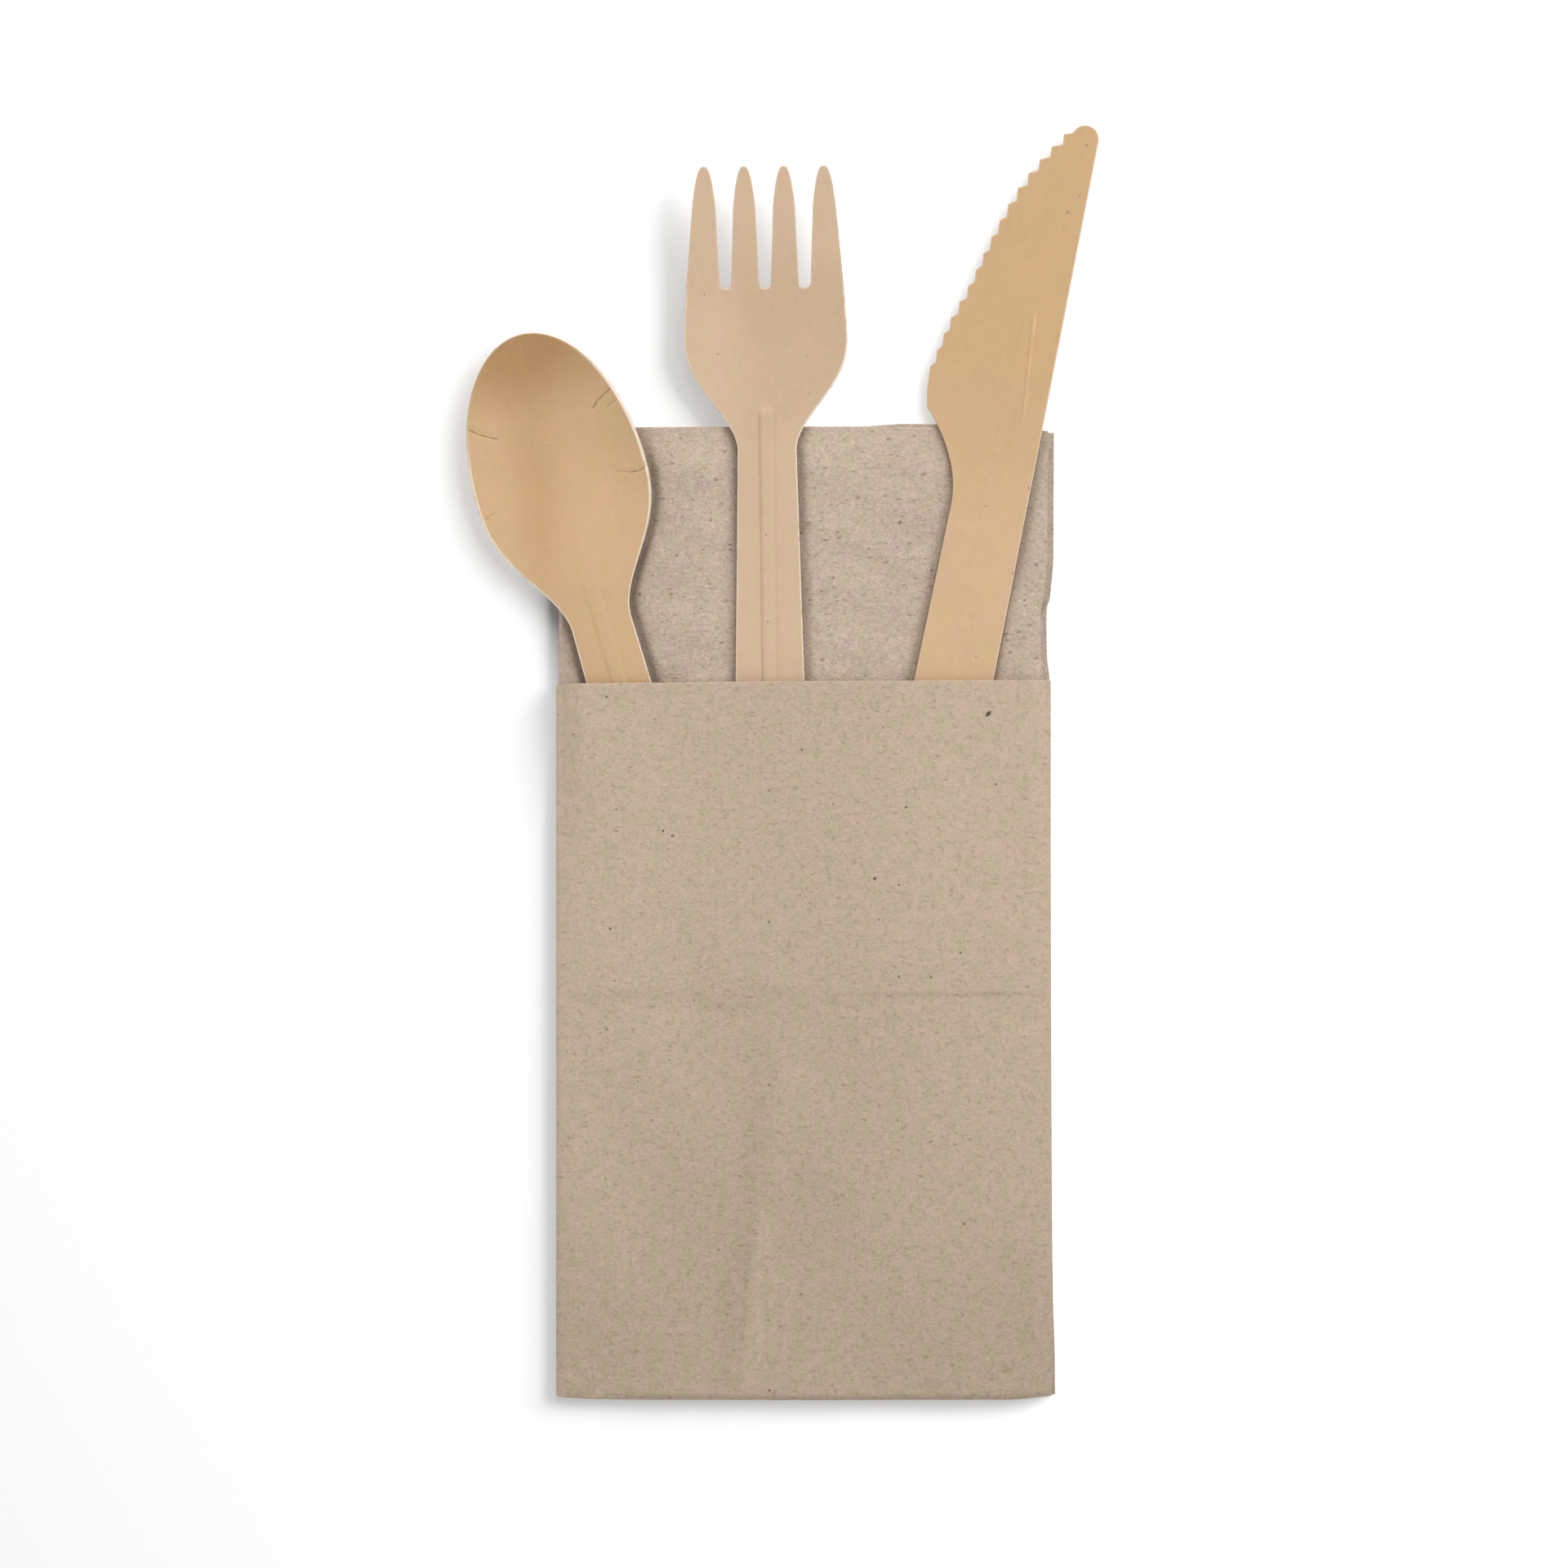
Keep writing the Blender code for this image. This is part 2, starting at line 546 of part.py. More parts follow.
def cover_rise(x, y):
    # The front spans the three handles like a tent and comes down to the side folds
    top = SEAT + BOARD / 2
    lifts = [
        handle_cover(x, y, PLANS["fork"], 0.0, FORK_END_HALF, FORK_LENGTH,
                     lambda s: top + FORK_RIB_HEIGHT + bow(s, FORK_DISH, FORK_LOWEST, FORK_REST)),
        handle_cover(x, y, PLANS["knife"], -KNIFE_END_WIDTH / 2, KNIFE_END_WIDTH / 2,
                     KNIFE_LENGTH, lambda s: top + KNIFE_RIB_HEIGHT),
        handle_cover(x, y, PLANS["spoon"], 0.0, SPOON_END_HALF, SPOON_LENGTH,
                     lambda s: top + SPOON_RIB_HEIGHT + spoon_bow(s)),
    ]
    tent = sum(lift ** TENT_POWER for lift in lifts) ** (1 / TENT_POWER)
    left, right = fold_centres()
    inside = min(min(x - left, right - x) / SIDE_REACH, 1.0)
    return tent * (1.0 - (1.0 - inside) ** 2)


def cover(x, y):
    # Rise of the front, and how much farther apart two layers are there when measured upright
    step = SLOPE_STEP
    slope_x = (cover_rise(x + step, y) - cover_rise(x - step, y)) / (2 * step)
    slope_y = (cover_rise(x, y + step) - cover_rise(x, y - step)) / (2 * step)
    return cover_rise(x, y), hypot(1.0, slope_x, slope_y)


def fold_centres():
    # X of the centres of the left and the right side folds
    outer = (PANEL_TOP - TISSUE / 2 - 2 * LAYER_PITCH) / 2 + 2 * LAYER_PITCH + TISSUE / 2
    right = LAYER_PITCH / 2 + 2 * LAYER_PITCH + TISSUE / 2
    return -PANEL_WIDTH / 2 + outer, PANEL_WIDTH / 2 - RAW_EDGE_REACH - right


def across_stations():
    # Section of the back layer from one raw edge to the other: place (x, z), the direction in
    # which the pocket's layers lie on it, and whether it is on the panel that shows
    left, right = fold_centres()
    raw = PANEL_WIDTH / 2
    bottom = TISSUE / 2 + 2 * LAYER_PITCH
    second = bottom + LAYER_PITCH
    third = PANEL_TOP - LAYER_PITCH
    stations = [(raw, bottom, 0.0, -1.0, False)]
    centre, radius = (bottom + PANEL_TOP) / 2, (PANEL_TOP - bottom) / 2
    for a in spread(1.5 * pi, 0.5 * pi, FOLD_STEPS + 1):
        stations.append((left + radius * cos(a), centre + radius * sin(a), cos(a), sin(a), False))
    near_left = [left + SIDE_REACH * share for share in SIDE_RISE]
    near_right = [right - SIDE_REACH * share for share in reversed(SIDE_RISE)]
    between = spread(left + SIDE_REACH, right - SIDE_REACH, COVER_COLUMNS)
    for x in near_left + between + near_right:
        stations.append((x, PANEL_TOP, 0.0, 1.0, True))
    centre, radius = (PANEL_TOP + third) / 2, (PANEL_TOP - third) / 2
    for a in spread(0.5 * pi, -0.5 * pi, FOLD_STEPS):
        stations.append((right + radius * cos(a), centre + radius * sin(a), cos(a), sin(a), False))
    centre, radius = (third + second) / 2, (third - second) / 2
    for a in spread(0.5 * pi, 1.5 * pi, FOLD_STEPS):
        stations.append((left + radius * cos(a), centre + radius * sin(a), -cos(a), -sin(a), False))
    stations.append((raw, second, 0.0, 1.0, False))
    return stations


def along_stations():
    # Section of the sheet from the top edge of the back, round the bottom fold, up the front of
    # the pocket and down its lip: place (y, height over the back), the outward direction, and
    # whether it is raised over the handles. The last value marks the lip.
    bottom = -BACK_LENGTH / 2
    fold = bottom + LAYER_PITCH + TISSUE / 2
    turn = MOUTH - LAYER_PITCH / 2 - TISSUE / 2
    lip_end = MOUTH - LIP_LENGTH
    stations = [(BACK_LENGTH / 2, 0.0, 0.0, -1.0, False, False)]
    for a in spread(1.5 * pi, 0.5 * pi, FOLD_STEPS):
        y, h = fold + LAYER_PITCH * cos(a), LAYER_PITCH * (1.0 + sin(a))
        stations.append((y, h, cos(a), sin(a), False, False))
    rows = spread(fold, lip_end, POCKET_ROWS)[1:] + spread(lip_end, turn, LIP_ROWS)[1:-1]
    for y in rows:
        stations.append((y, 2 * LAYER_PITCH, 0.0, 1.0, True, False))
    for a in spread(0.5 * pi, -0.5 * pi, FOLD_STEPS):
        y, h = turn + LAYER_PITCH / 2 * cos(a), LAYER_PITCH * (3.0 + sin(a)) / 2
        stations.append((y, h, cos(a), sin(a), True, a < 0.0))
    for y in spread(turn, lip_end, LIP_ROWS)[1:]:
        stations.append((y, LAYER_PITCH, 0.0, -1.0, True, True))
    return stations


def sheet_point(across, along, offset):
    # A point of the folded sheet, offset from its middle along its outward direction
    x, z, out_x, out_z, shows = across
    y, height, out_y, out_height, raised = along[:5]
    height += offset * out_height
    y_place = y + offset * out_y
    if shows and raised:
        rise, stretch = cover(x, y)
        return (x, y_place, z + rise + height * stretch)
    return (x + out_x * height, y_place, z + out_z * height)


def make_napkin():
    columns = across_stations()
    rows = along_stations()
    bm = bmesh.new()
    outside = [[bm.verts.new(sheet_point(c, r, TISSUE / 2)) for r in rows] for c in columns]
    inside = [[bm.verts.new(sheet_point(c, r, -TISSUE / 2)) for r in rows] for c in columns]
    for i in range(len(columns) - 1):
        for j in range(len(rows) - 1):
            # Every layer is cut along the same diagonal, so that layers never cross
            lip = rows[j + 1][5]
            for skin, flip in ((outside, False), (inside, True)):
                a, b = skin[i][j], skin[i + 1][j]
                c, d = skin[i + 1][j + 1], skin[i][j + 1]
                halves = [(a, b, d), (b, c, d)] if lip else [(a, b, c), (a, c, d)]
                for half in halves:
                    bm.faces.new(reversed(half) if flip else half)
    last_column, last_row = len(columns) - 1, len(rows) - 1
    rim = [(i, 0) for i in range(last_column)] + [(last_column, j) for j in range(last_row)]
    rim += [(i, last_row) for i in range(last_column, 0, -1)]
    rim += [(0, j) for j in range(last_row, 0, -1)]
    for (i, j), (k, m) in zip(rim, rim[1:] + rim[:1]):
        bm.faces.new((outside[k][m], outside[i][j], inside[i][j], inside[k][m]))
    bmesh.ops.recalc_face_normals(bm, faces=bm.faces)
    napkin = new_object("napkin", bm)
    paint(napkin, "napkin_tissue", NAPKIN_COLOUR, NAPKIN_ROUGHNESS)
    return napkin


def finish_shading(obj):
    obj.data.shade_smooth()
    obj.data.set_sharp_from_angle(angle=radians(SMOOTH_ANGLE))


for old in list(bpy.data.objects):
    bpy.data.objects.remove(old, do_unlink=True)

PLANS = {"fork": fork_plan(), "knife": knife_plan(), "spoon": spoon_plan()}

for piece in (make_napkin(), make_fork(), make_knife(), make_spoon()):
    finish_shading(piece)
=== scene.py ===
# Looks of the paper cutlery set: a napkin pocket with a fork, a knife and a spoon of board.
# Lengths are in metres, with +Y towards the tips of the cutlery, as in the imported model.
import math

import bpy
import numpy as np
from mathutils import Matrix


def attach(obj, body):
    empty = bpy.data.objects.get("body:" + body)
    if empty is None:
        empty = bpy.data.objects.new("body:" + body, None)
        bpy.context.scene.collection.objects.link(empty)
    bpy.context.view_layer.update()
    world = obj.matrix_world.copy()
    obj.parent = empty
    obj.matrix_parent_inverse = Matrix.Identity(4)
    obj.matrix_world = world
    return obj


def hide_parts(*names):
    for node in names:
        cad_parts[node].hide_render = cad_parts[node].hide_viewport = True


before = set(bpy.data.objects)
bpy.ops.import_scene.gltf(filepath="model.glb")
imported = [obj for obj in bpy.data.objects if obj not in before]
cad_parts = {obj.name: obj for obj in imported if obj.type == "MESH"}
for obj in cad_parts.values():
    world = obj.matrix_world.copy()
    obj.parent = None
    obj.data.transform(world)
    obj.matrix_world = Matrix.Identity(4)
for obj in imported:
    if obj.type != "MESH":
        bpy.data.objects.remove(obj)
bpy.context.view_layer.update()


mm = 0.001


# Curves

def smoothStep(t):
    # 0 up to t = 0, 1 from t = 1, and an S between them: t * t * (3 - 2 t)
    t = np.clip(t, 0.0, 1.0)
    return t * t * (3.0 - 2.0 * t)


def bell(distance, width):
    # 1 on a line and nearly 0 two widths from it: exp of minus (distance / width) squared
    return np.exp(-(distance / width) ** 2)


def evenly(start, end, spacing):
    return np.linspace(start, end, max(int(round(abs(end - start) / spacing)), 1) + 1)


def joined(*runs):
    # Runs of stations, each of which starts where the one before ends
    return np.concatenate([runs[0]] + [run[1:] for run in runs[1:]])


def smoothCurve(places, values, s):
    # Cubic from point to point, level where the values turn back, so it never overshoots
    places, values = np.array(places), np.array(values)
    gaps = np.diff(places)
    slopes = np.diff(values) / gaps
    product = slopes[:-1] * slopes[1:]
    total = slopes[:-1] + slopes[1:]
    inner = np.where(product > 0.0, 2.0 * product / np.where(total == 0.0, 1.0, total), 0.0)
    bends = np.concatenate([slopes[:1], inner, slopes[-1:]])
    i = np.clip(np.searchsorted(places, s) - 1, 0, len(gaps) - 1)
    t = np.clip((s - places[i]) / gaps[i], 0.0, 1.0)
    rise = (values[i + 1] - values[i]) * t * t * (3.0 - 2.0 * t)
    bend = bends[i] * t * (1.0 - t) ** 2 - bends[i + 1] * t * t * (1.0 - t)
    return values[i] + rise + bend * gaps[i]


def waves(x, y, length, count, seed):
    # Sum of sine waves of about one length in seeded directions, mostly between -1 and 1
    chance = np.random.default_rng(seed)
    total = np.zeros(np.broadcast(x, y).shape)
    for turn, reach, start in chance.random((count, 3)):
        angle, span = 2.0 * math.pi * turn, length * (0.7 + 0.6 * reach)
        along = x * math.cos(angle) + y * math.sin(angle)
        total += np.sin(2.0 * math.pi * (along / span + start))
    return total / math.sqrt(count)


# Meshes

def addPiece(name, points, faces, flat, marks, material):
    # A mesh with the places on the flat sheet as its UV map and numbers per point as attributes
    mesh = bpy.data.meshes.new(name)
    mesh.from_pydata(points.tolist(), [], faces.tolist())
    corners = np.empty(len(mesh.loops), np.int32)
    mesh.loops.foreach_get("vertex_index", corners)
    mesh.uv_layers.new(name="flat").data.foreach_set("uv", flat[corners].ravel())
    for key, values in marks.items():
        attribute = mesh.attributes.new(key, "FLOAT", "POINT")
        attribute.data.foreach_set("value", values.astype(np.float32))
    mesh.shade_smooth()
    mesh.materials.append(material)
    piece = bpy.data.objects.new(name, mesh)
    bpy.context.scene.collection.objects.link(piece)
    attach(piece, "root")
    return piece


def rimFaces(faces, count):
    # Walls from the edges that only one upper face has, down to the lower skin
    first, second = faces, np.roll(faces, -1, axis=1)
    ways = first.ravel() * count + second.ravel()
    back = second.ravel() * count + first.ravel()
    single = ~np.isin(ways, back)
    a, b = first.ravel()[single], second.ravel()[single]
    return np.stack([b, a, a + count, b + count], axis=1)


def gridFaces(rows, columns, kept=None):
    index = np.arange(rows * columns).reshape(rows, columns)
    faces = np.stack([index[:-1, :-1], index[1:, :-1], index[1:, 1:], index[:-1, 1:]], axis=-1)
    return faces[kept] if kept is not None else faces.reshape(-1, 4)


# Materials

class Socket:
    # One output of a node, on which + - * / and ** add Math nodes

    def __init__(self, finish, output):
        self.finish = finish
        self.output = output

    def __add__(self, other):
        return self.finish.maths("ADD", self, other)

    def __sub__(self, other):
        return self.finish.maths("SUBTRACT", self, other)

    def __rsub__(self, other):
        return self.finish.maths("SUBTRACT", other, self)

    def __mul__(self, other):
        return self.finish.maths("MULTIPLY", self, other)

    def __pow__(self, other):
        return self.finish.maths("POWER", self, other)

    __radd__ = __add__
    __rmul__ = __mul__


class Finish:
    # The nodes of a material or world: node() adds any node, its settings first, then its sockets

    def __init__(self, holder):
        holder.use_nodes = True
        self.holder = holder
        self.tree = holder.node_tree
        self.tree.nodes.clear()

    def node(self, kind, settings=None, sockets=None, output=0):
        made = self.tree.nodes.new(kind)
        for key, value in (settings or {}).items():
            setattr(made, key, value)
        for key, value in (sockets or {}).items():
            if isinstance(value, Socket):
                self.tree.links.new(value.output, made.inputs[key])
            else:
                made.inputs[key].default_value = value
        return Socket(self, made.outputs[output]) if made.outputs else None

    def maths(self, operation, *values):
        return self.node("ShaderNodeMath", {"operation": operation}, dict(enumerate(values)))

    def between(self, value, low, high):
        # 0 where the value is at low, 1 at high, and an S between them
        return self.node("ShaderNodeMapRange", {"interpolation_type": "SMOOTHSTEP"},
                         {"Value": value, "From Min": low, "From Max": high})

    def flatPlace(self, stretchX=1.0, stretchY=1.0, turn=0.0):
        # The place on the flat sheet in millimetres, turned and stretched
        place = self.node("ShaderNodeUVMap", {"uv_map": "flat"})
        if turn:
            place = self.node("ShaderNodeMapping", None, {
                "Vector": place, "Rotation": (0.0, 0.0, turn)})
        return self.node("ShaderNodeMapping", None, {
            "Vector": place, "Scale": (stretchX / mm, stretchY / mm, 1.0 / mm)})

    def noise(self, place, size, detail=2.0, roughness=0.5, distortion=0.0):
        # Perlin noise, with features of about that many millimetres
        return self.node("ShaderNodeTexNoise", {"noise_dimensions": "2D"}, {
            "Vector": place, "Scale": 1.0 / size, "Detail": detail, "Roughness": roughness,
            "Distortion": distortion})

    def mark(self, name):
        return self.node("ShaderNodeAttribute", {"attribute_name": name}, output="Fac")

    def mixed(self, factor, first, second):
        # first where the factor is 0, second where it is 1
        return self.node("ShaderNodeMix", {"data_type": "RGBA"}, {0: factor, 6: first, 7: second},
                         2)

    def shaded(self, colour, shade):
        # The colour times a number, through Vector Math
        colour = colour if isinstance(colour, Socket) else colour[:3]
        return self.node("ShaderNodeVectorMath", {"operation": "SCALE"},
                         {"Vector": colour, "Scale": shade})

    def threads(self, place, size, width):
        # Thin curved lines: 1 where a noise is near its middle value, cut into short lengths by
        # a second, larger noise
        level = self.maths("ABSOLUTE", self.noise(place, size, 1.0, 0.4, 0.6) - 0.5)
        shifted = self.node("ShaderNodeMapping", None, {"Vector": place, "Location": (37.0, 91.0, 0.0)})
        return self.between(level, width, 0.3 * width) * self.between(
            self.noise(shifted, 1.3 * size, 2.0), 0.53, 0.66)

    def specks(self, place, cell, radius, chance=6.0):
        # Round specks, one in a Voronoi cell at most; the higher the chance, the fewer are large
        settings = {"voronoi_dimensions": "2D"}
        sockets = {"Vector": place, "Scale": 1.0 / cell}
        far = self.node("ShaderNodeTexVoronoi", settings, sockets, "Distance")
        lot = self.node("ShaderNodeSeparateColor", None, {
            "Color": self.node("ShaderNodeTexVoronoi", settings, sockets, "Color")})
        reach = radius / cell
        return self.between(reach * lot ** chance - far, -0.15 * reach, 0.35 * reach)

    def spot(self, place, x, y, length, width, turn=0.0):
        # 1 in the middle of an ellipse of that length and width, 0 from its rim outwards
        around = self.node("ShaderNodeMapping", {"vector_type": "TEXTURE"}, {
            "Vector": place, "Location": (x, y, 0.0), "Rotation": (0.0, 0.0, turn),
            "Scale": (length / 2.0, width / 2.0, 1.0)})
        far = self.node("ShaderNodeVectorMath", {"operation": "LENGTH"}, {"Vector": around},
                        "Value")
        return self.between(far, 1.0, 0.4)

    def strokes(self, place, lines, width):
        # Lines of two or more points, each with its strength, each stretch of them a long thin spot
        total = 0.0
        for strength, points in lines:
            for (x0, y0), (x1, y1) in zip(points, points[1:]):
                length = math.hypot(x1 - x0, y1 - y0)
                total = total + strength * self.spot(place, (x0 + x1) / 2.0, (y0 + y1) / 2.0,
                                                     1.35 * length, width,
                                                     math.atan2(y1 - y0, x1 - x0))
        return self.maths("MINIMUM", total, 1.0)

    def surface(self, colour, roughness, height, fixed):
        # A Principled surface; height is in metres, fixed holds numbers that are the same all over
        normal = self.node("ShaderNodeBump", None, {"Height": height, "Distance": 1.0})
        sockets = {"Base Color": colour, "Roughness": roughness, "Normal": normal}
        sockets.update(fixed)
        shader = self.node("ShaderNodeBsdfPrincipled", None, sockets)
        self.node("ShaderNodeOutputMaterial", None, {"Surface": shader})
        return self.holder


def paint(red, green, blue):
    # A colour written in 0 to 255, as a picture gives it, turned into linear light
    shares = np.array([red, green, blue]) / 255.0
    linear = np.where(shares > 0.04045, ((shares + 0.055) / 1.055) ** 2.4, shares / 12.92)
    return (*linear.tolist(), 1.0)


# Pressed board

board = {
    "thickness": 0.0009,
    "seat": 0.00329,          # height of the middle of a board that lies on the napkin
    "mouth": 0.0465,          # Y of the mouth of the pocket
    "hiddenBy": 0.004,        # past the mouth by this, the rows get coarse
    "ribHalf": 0.0016,        # from the middle of a rib to its crease
    "ribTopHalf": 0.00085,
    "ribRamp": 0.0040,
    "ribEndMargin": 0.0120,
    "endRound": 0.0070,
    "ribZone": 0.0027,        # half width of the stretch with fine columns over the rib
    "rollWidth": 0.26 * mm, "rollDepth": 0.18 * mm, "creamWidth": 0.20 * mm,
}
# Distances from a cut edge at which columns stand, so that the rolled edge is round
edgeStops = np.array([0.0, 0.02, 0.06, 0.11, 0.17, 0.24, 0.32, 0.45]) * mm


def shoulder(s, widest, neck, wideHalf, neckHalf, lean):
    # A leaning S from the widest place to the neck: half a cosine wave of t to a power
    t = np.clip((s - widest) / (neck - widest), 0.0, 1.0)
    return neckHalf + (wideHalf - neckHalf) * (1.0 + np.cos(math.pi * t ** lean)) / 2.0


def endRounding(s, length):
    # Share of the width left near the rounded end: a quarter of an ellipse
    past = np.clip((s - (length - board["endRound"])) / board["endRound"], 0.0, 0.999)
    return np.sqrt(1.0 - past * past)


def handleHalf(s, shape):
    # Half width that grows evenly from the neck to the rounded end
    t = np.clip((s - shape["neck"]) / (shape["length"] - board["endRound"] - shape["neck"]),
                0.0, 1.0)
    even = shape["neckHalf"] + (shape["endHalf"] - shape["neckHalf"]) * t
    return even * endRounding(s, shape["length"])


def bowed(s, height, lowest, rest):
    # The board bows from its lowest place up and down again to where the handle lies flat
    return height * (1.0 - smoothStep((s - lowest) / (rest - lowest)))


def ribHeight(s, offset, shape):
    # A rib with a soft flat top, which fades out along a ramp at both ends
    side = smoothStep((board["ribHalf"] - np.abs(offset)) / (board["ribHalf"] - board["ribTopHalf"]))
    end = shape["length"] - board["ribEndMargin"]
    fore = smoothStep((s - shape["ribStart"]) / shape["ribFade"])
    aft = smoothStep((end - s) / board["ribRamp"])
    return shape["ribHeight"] * side * fore * aft


def stripColumns(left, right, middle, ribCount, sideCount):
    # Columns from the left edge to the right one: close together at both cut edges and over
    # the rib, even in between. Every argument but the counts has one number per row.
    zone = np.minimum(board["ribZone"], 0.35 * np.minimum(right - middle, middle - left))
    room = np.minimum(right - middle, middle - left) - zone
    shrink = np.minimum(1.0, 0.6 * room / edgeStops[-1])
    stops = edgeStops[None, :] * shrink[:, None]
    overRib = middle[:, None] + zone[:, None] * np.linspace(-1.0, 1.0, ribCount)
    share = np.linspace(0.0, 1.0, sideCount + 2)[1:-1]
    leftEdge, rightEdge = left[:, None] + stops, right[:, None] - stops[:, ::-1]
    leftSide = leftEdge[:, -1:] + (overRib[:, :1] - leftEdge[:, -1:]) * share
    rightSide = overRib[:, -1:] + (rightEdge[:, :1] - overRib[:, -1:]) * share
    return np.concatenate([leftEdge, leftSide, overRib, rightSide, rightEdge], axis=1)


def slantShare(half, s):
    # Turns a distance measured across the piece into one square to its outline
    return 1.0 / np.sqrt(1.0 + np.gradient(half, s) ** 2)


def pressedBoard(name, shape, s, x, height, edge, cream, marks, material, kept=None):
    # Two skins half a thickness above and below the middle surface. Near a cut edge the skins
    # roll towards each other as a quarter of an ellipse, and a wall closes them. The cream of
    # the cut shows along the edge, as strongly as cream says.
    rows, columns = x.shape
    turn = math.radians(shape["turn"])
    tipX, tipY = shape["tip"]
    middle = np.stack([tipX + s * math.sin(turn) + x * math.cos(turn),
                       tipY - s * math.cos(turn) + x * math.sin(turn),
                       board["seat"] + height], axis=-1)
    normal = np.cross(np.gradient(middle, axis=0), np.gradient(middle, axis=1))
    normal /= np.maximum(np.linalg.norm(normal, axis=-1, keepdims=True), 1e-12)
    half = board["thickness"] / 2.0
    skins = []
    for way, width, depth in ((1.0, board["rollWidth"], board["rollDepth"]),
                              (-1.0, 0.6 * board["rollWidth"], 0.6 * board["rollDepth"])):
        past = np.clip(1.0 - edge / width, 0.0, 1.0)
        drop = depth * (1.0 - np.sqrt(1.0 - past * past))
        skins.append(middle + way * normal * (half - drop)[..., None])
    points = np.concatenate([skin.reshape(-1, 3) for skin in skins])
    top = gridFaces(rows, columns, kept)
    count = rows * columns
    faces = np.concatenate([top, top[:, ::-1] + count, rimFaces(top, count)])
    rolled = cream * (1.0 - smoothStep((edge - board["creamWidth"]) / (0.08 * mm)))
    below = 1.0 - smoothStep(edge / (0.10 * mm))
    flat = np.stack([x, s], axis=-1).reshape(-1, 2)
    both = {"cutEdge": np.concatenate([rolled.ravel(), below.ravel()])}
    for key, values in marks.items():
        both[key] = np.concatenate([values.ravel(), values.ravel()])
    return addPiece(name, points, faces, np.concatenate([flat, flat]), both, material)


# Fork

fork = {
    "tip": (-0.008352, 0.149292), "turn": 0.72, "length": 0.160,
    "pitch": 0.00795, "pointLength": 0.0080, "pointHalf": 0.0022, "pointPower": 0.37,
    "outerSideHalf": 0.00245, "slotDepth": 0.0229, "slotFootHalf": 0.0012,
    "widest": 0.0336, "headHalf": 0.0164, "sidePower": 1.20, "lean": 1.2,
    "neck": 0.0568, "neckHalf": 0.0059, "endHalf": 0.0080,
    "ribStart": 0.0478, "ribFade": 0.0016, "ribHeight": 0.0006,
    "curlRise": 0.0022, "curlLength": 0.030,
    "dish": 0.0014, "dishStart": 0.008, "dishEnd": 0.058, "crown": 0.5, "rest": 0.090,
}


def tineHalf(s):
    # A rounded point, the root-like power of s, then straight sides to the foot of the slot
    f = fork
    footHalf = f["pitch"] / 2.0 - f["slotFootHalf"]
    t = np.clip((s - f["pointLength"]) / (f["slotDepth"] - f["pointLength"]), 0.0, 1.0)
    point = f["pointHalf"] * np.clip(s / f["pointLength"], 0.0, 1.0) ** f["pointPower"]
    return np.where(s < f["pointLength"], point, f["pointHalf"] + (footHalf - f["pointHalf"]) * t)


def slotHalf(s):
    # Half of the gap between two tines: what the tines leave, then a round foot
    past = np.clip((s - fork["slotDepth"]) / fork["slotFootHalf"], 0.0, 0.995)
    return np.where(s < fork["slotDepth"], fork["pitch"] / 2.0 - tineHalf(s),
                    fork["slotFootHalf"] * np.sqrt(1.0 - past * past))


def forkHalf(s):
    # Outer tines, a side that bends out to the widest place, the shoulder and the handle
    f = fork
    outer = 1.5 * f["pitch"]
    start = outer + f["outerSideHalf"]
    point = outer + tineHalf(s) * f["outerSideHalf"] / f["pointHalf"]
    t = np.clip((s - f["pointLength"]) / (f["widest"] - f["pointLength"]), 0.0, 1.0)
    side = start + (f["headHalf"] - start) * (1.0 - (1.0 - t) ** f["sidePower"])
    neck = shoulder(s, f["widest"], f["neck"], f["headHalf"], f["neckHalf"], f["lean"])
    return np.select([s < f["pointLength"], s < f["widest"], s < f["neck"]],
                     [point, side, neck], handleHalf(s, f))


def forkHeight(s, x):
    # The tips curl up by the square of the way to them, the head dips by a cosine wave
    f = fork
    curl = f["curlRise"] * np.clip(1.0 - s / f["curlLength"], 0.0, 1.0) ** 2
    t = np.clip((s - f["dishStart"]) / (f["dishEnd"] - f["dishStart"]), 0.0, 1.0)
    dish = f["dish"] * (1.0 - np.cos(2.0 * math.pi * t)) / 2.0
    crown = 1.0 - f["crown"] * (x / f["headHalf"]) ** 2
    lowest = (f["dishStart"] + f["dishEnd"]) / 2.0
    return bowed(s, f["dish"], lowest, f["rest"]) + curl - dish * crown + ribHeight(s, x, f)


def forkColumns(s, half, gap):
    # In the head, equal counts of columns on each tine; behind it they spread over the handle
    centres = (np.arange(3) - 1.0) * fork["pitch"]
    left = np.stack([-half] + [centre + gap for centre in centres], axis=1)
    right = np.stack([centre - gap for centre in centres] + [half], axis=1)
    shrink = np.minimum(1.0, 0.4 * (right - left) / edgeStops[-1])[..., None]
    near, far = left[..., None] + edgeStops * shrink, right[..., None] - edgeStops[::-1] * shrink
    share = np.linspace(0.0, 1.0, 6)[1:-1]
    inner = near[..., -1:] + (far[..., :1] - near[..., -1:]) * share
    head = np.concatenate([near, inner, far], axis=-1).reshape(len(s), -1)
    handle = stripColumns(-half, half, 0.0 * s, 24, (head.shape[1] - 24 - 2 * len(edgeStops)) // 2)
    footEnd = fork["slotDepth"] + fork["slotFootHalf"]
    over = smoothStep((s - footEnd) / (0.5 * (fork["neck"] - footEnd)))[:, None]
    return head * (1.0 - over) + handle * over


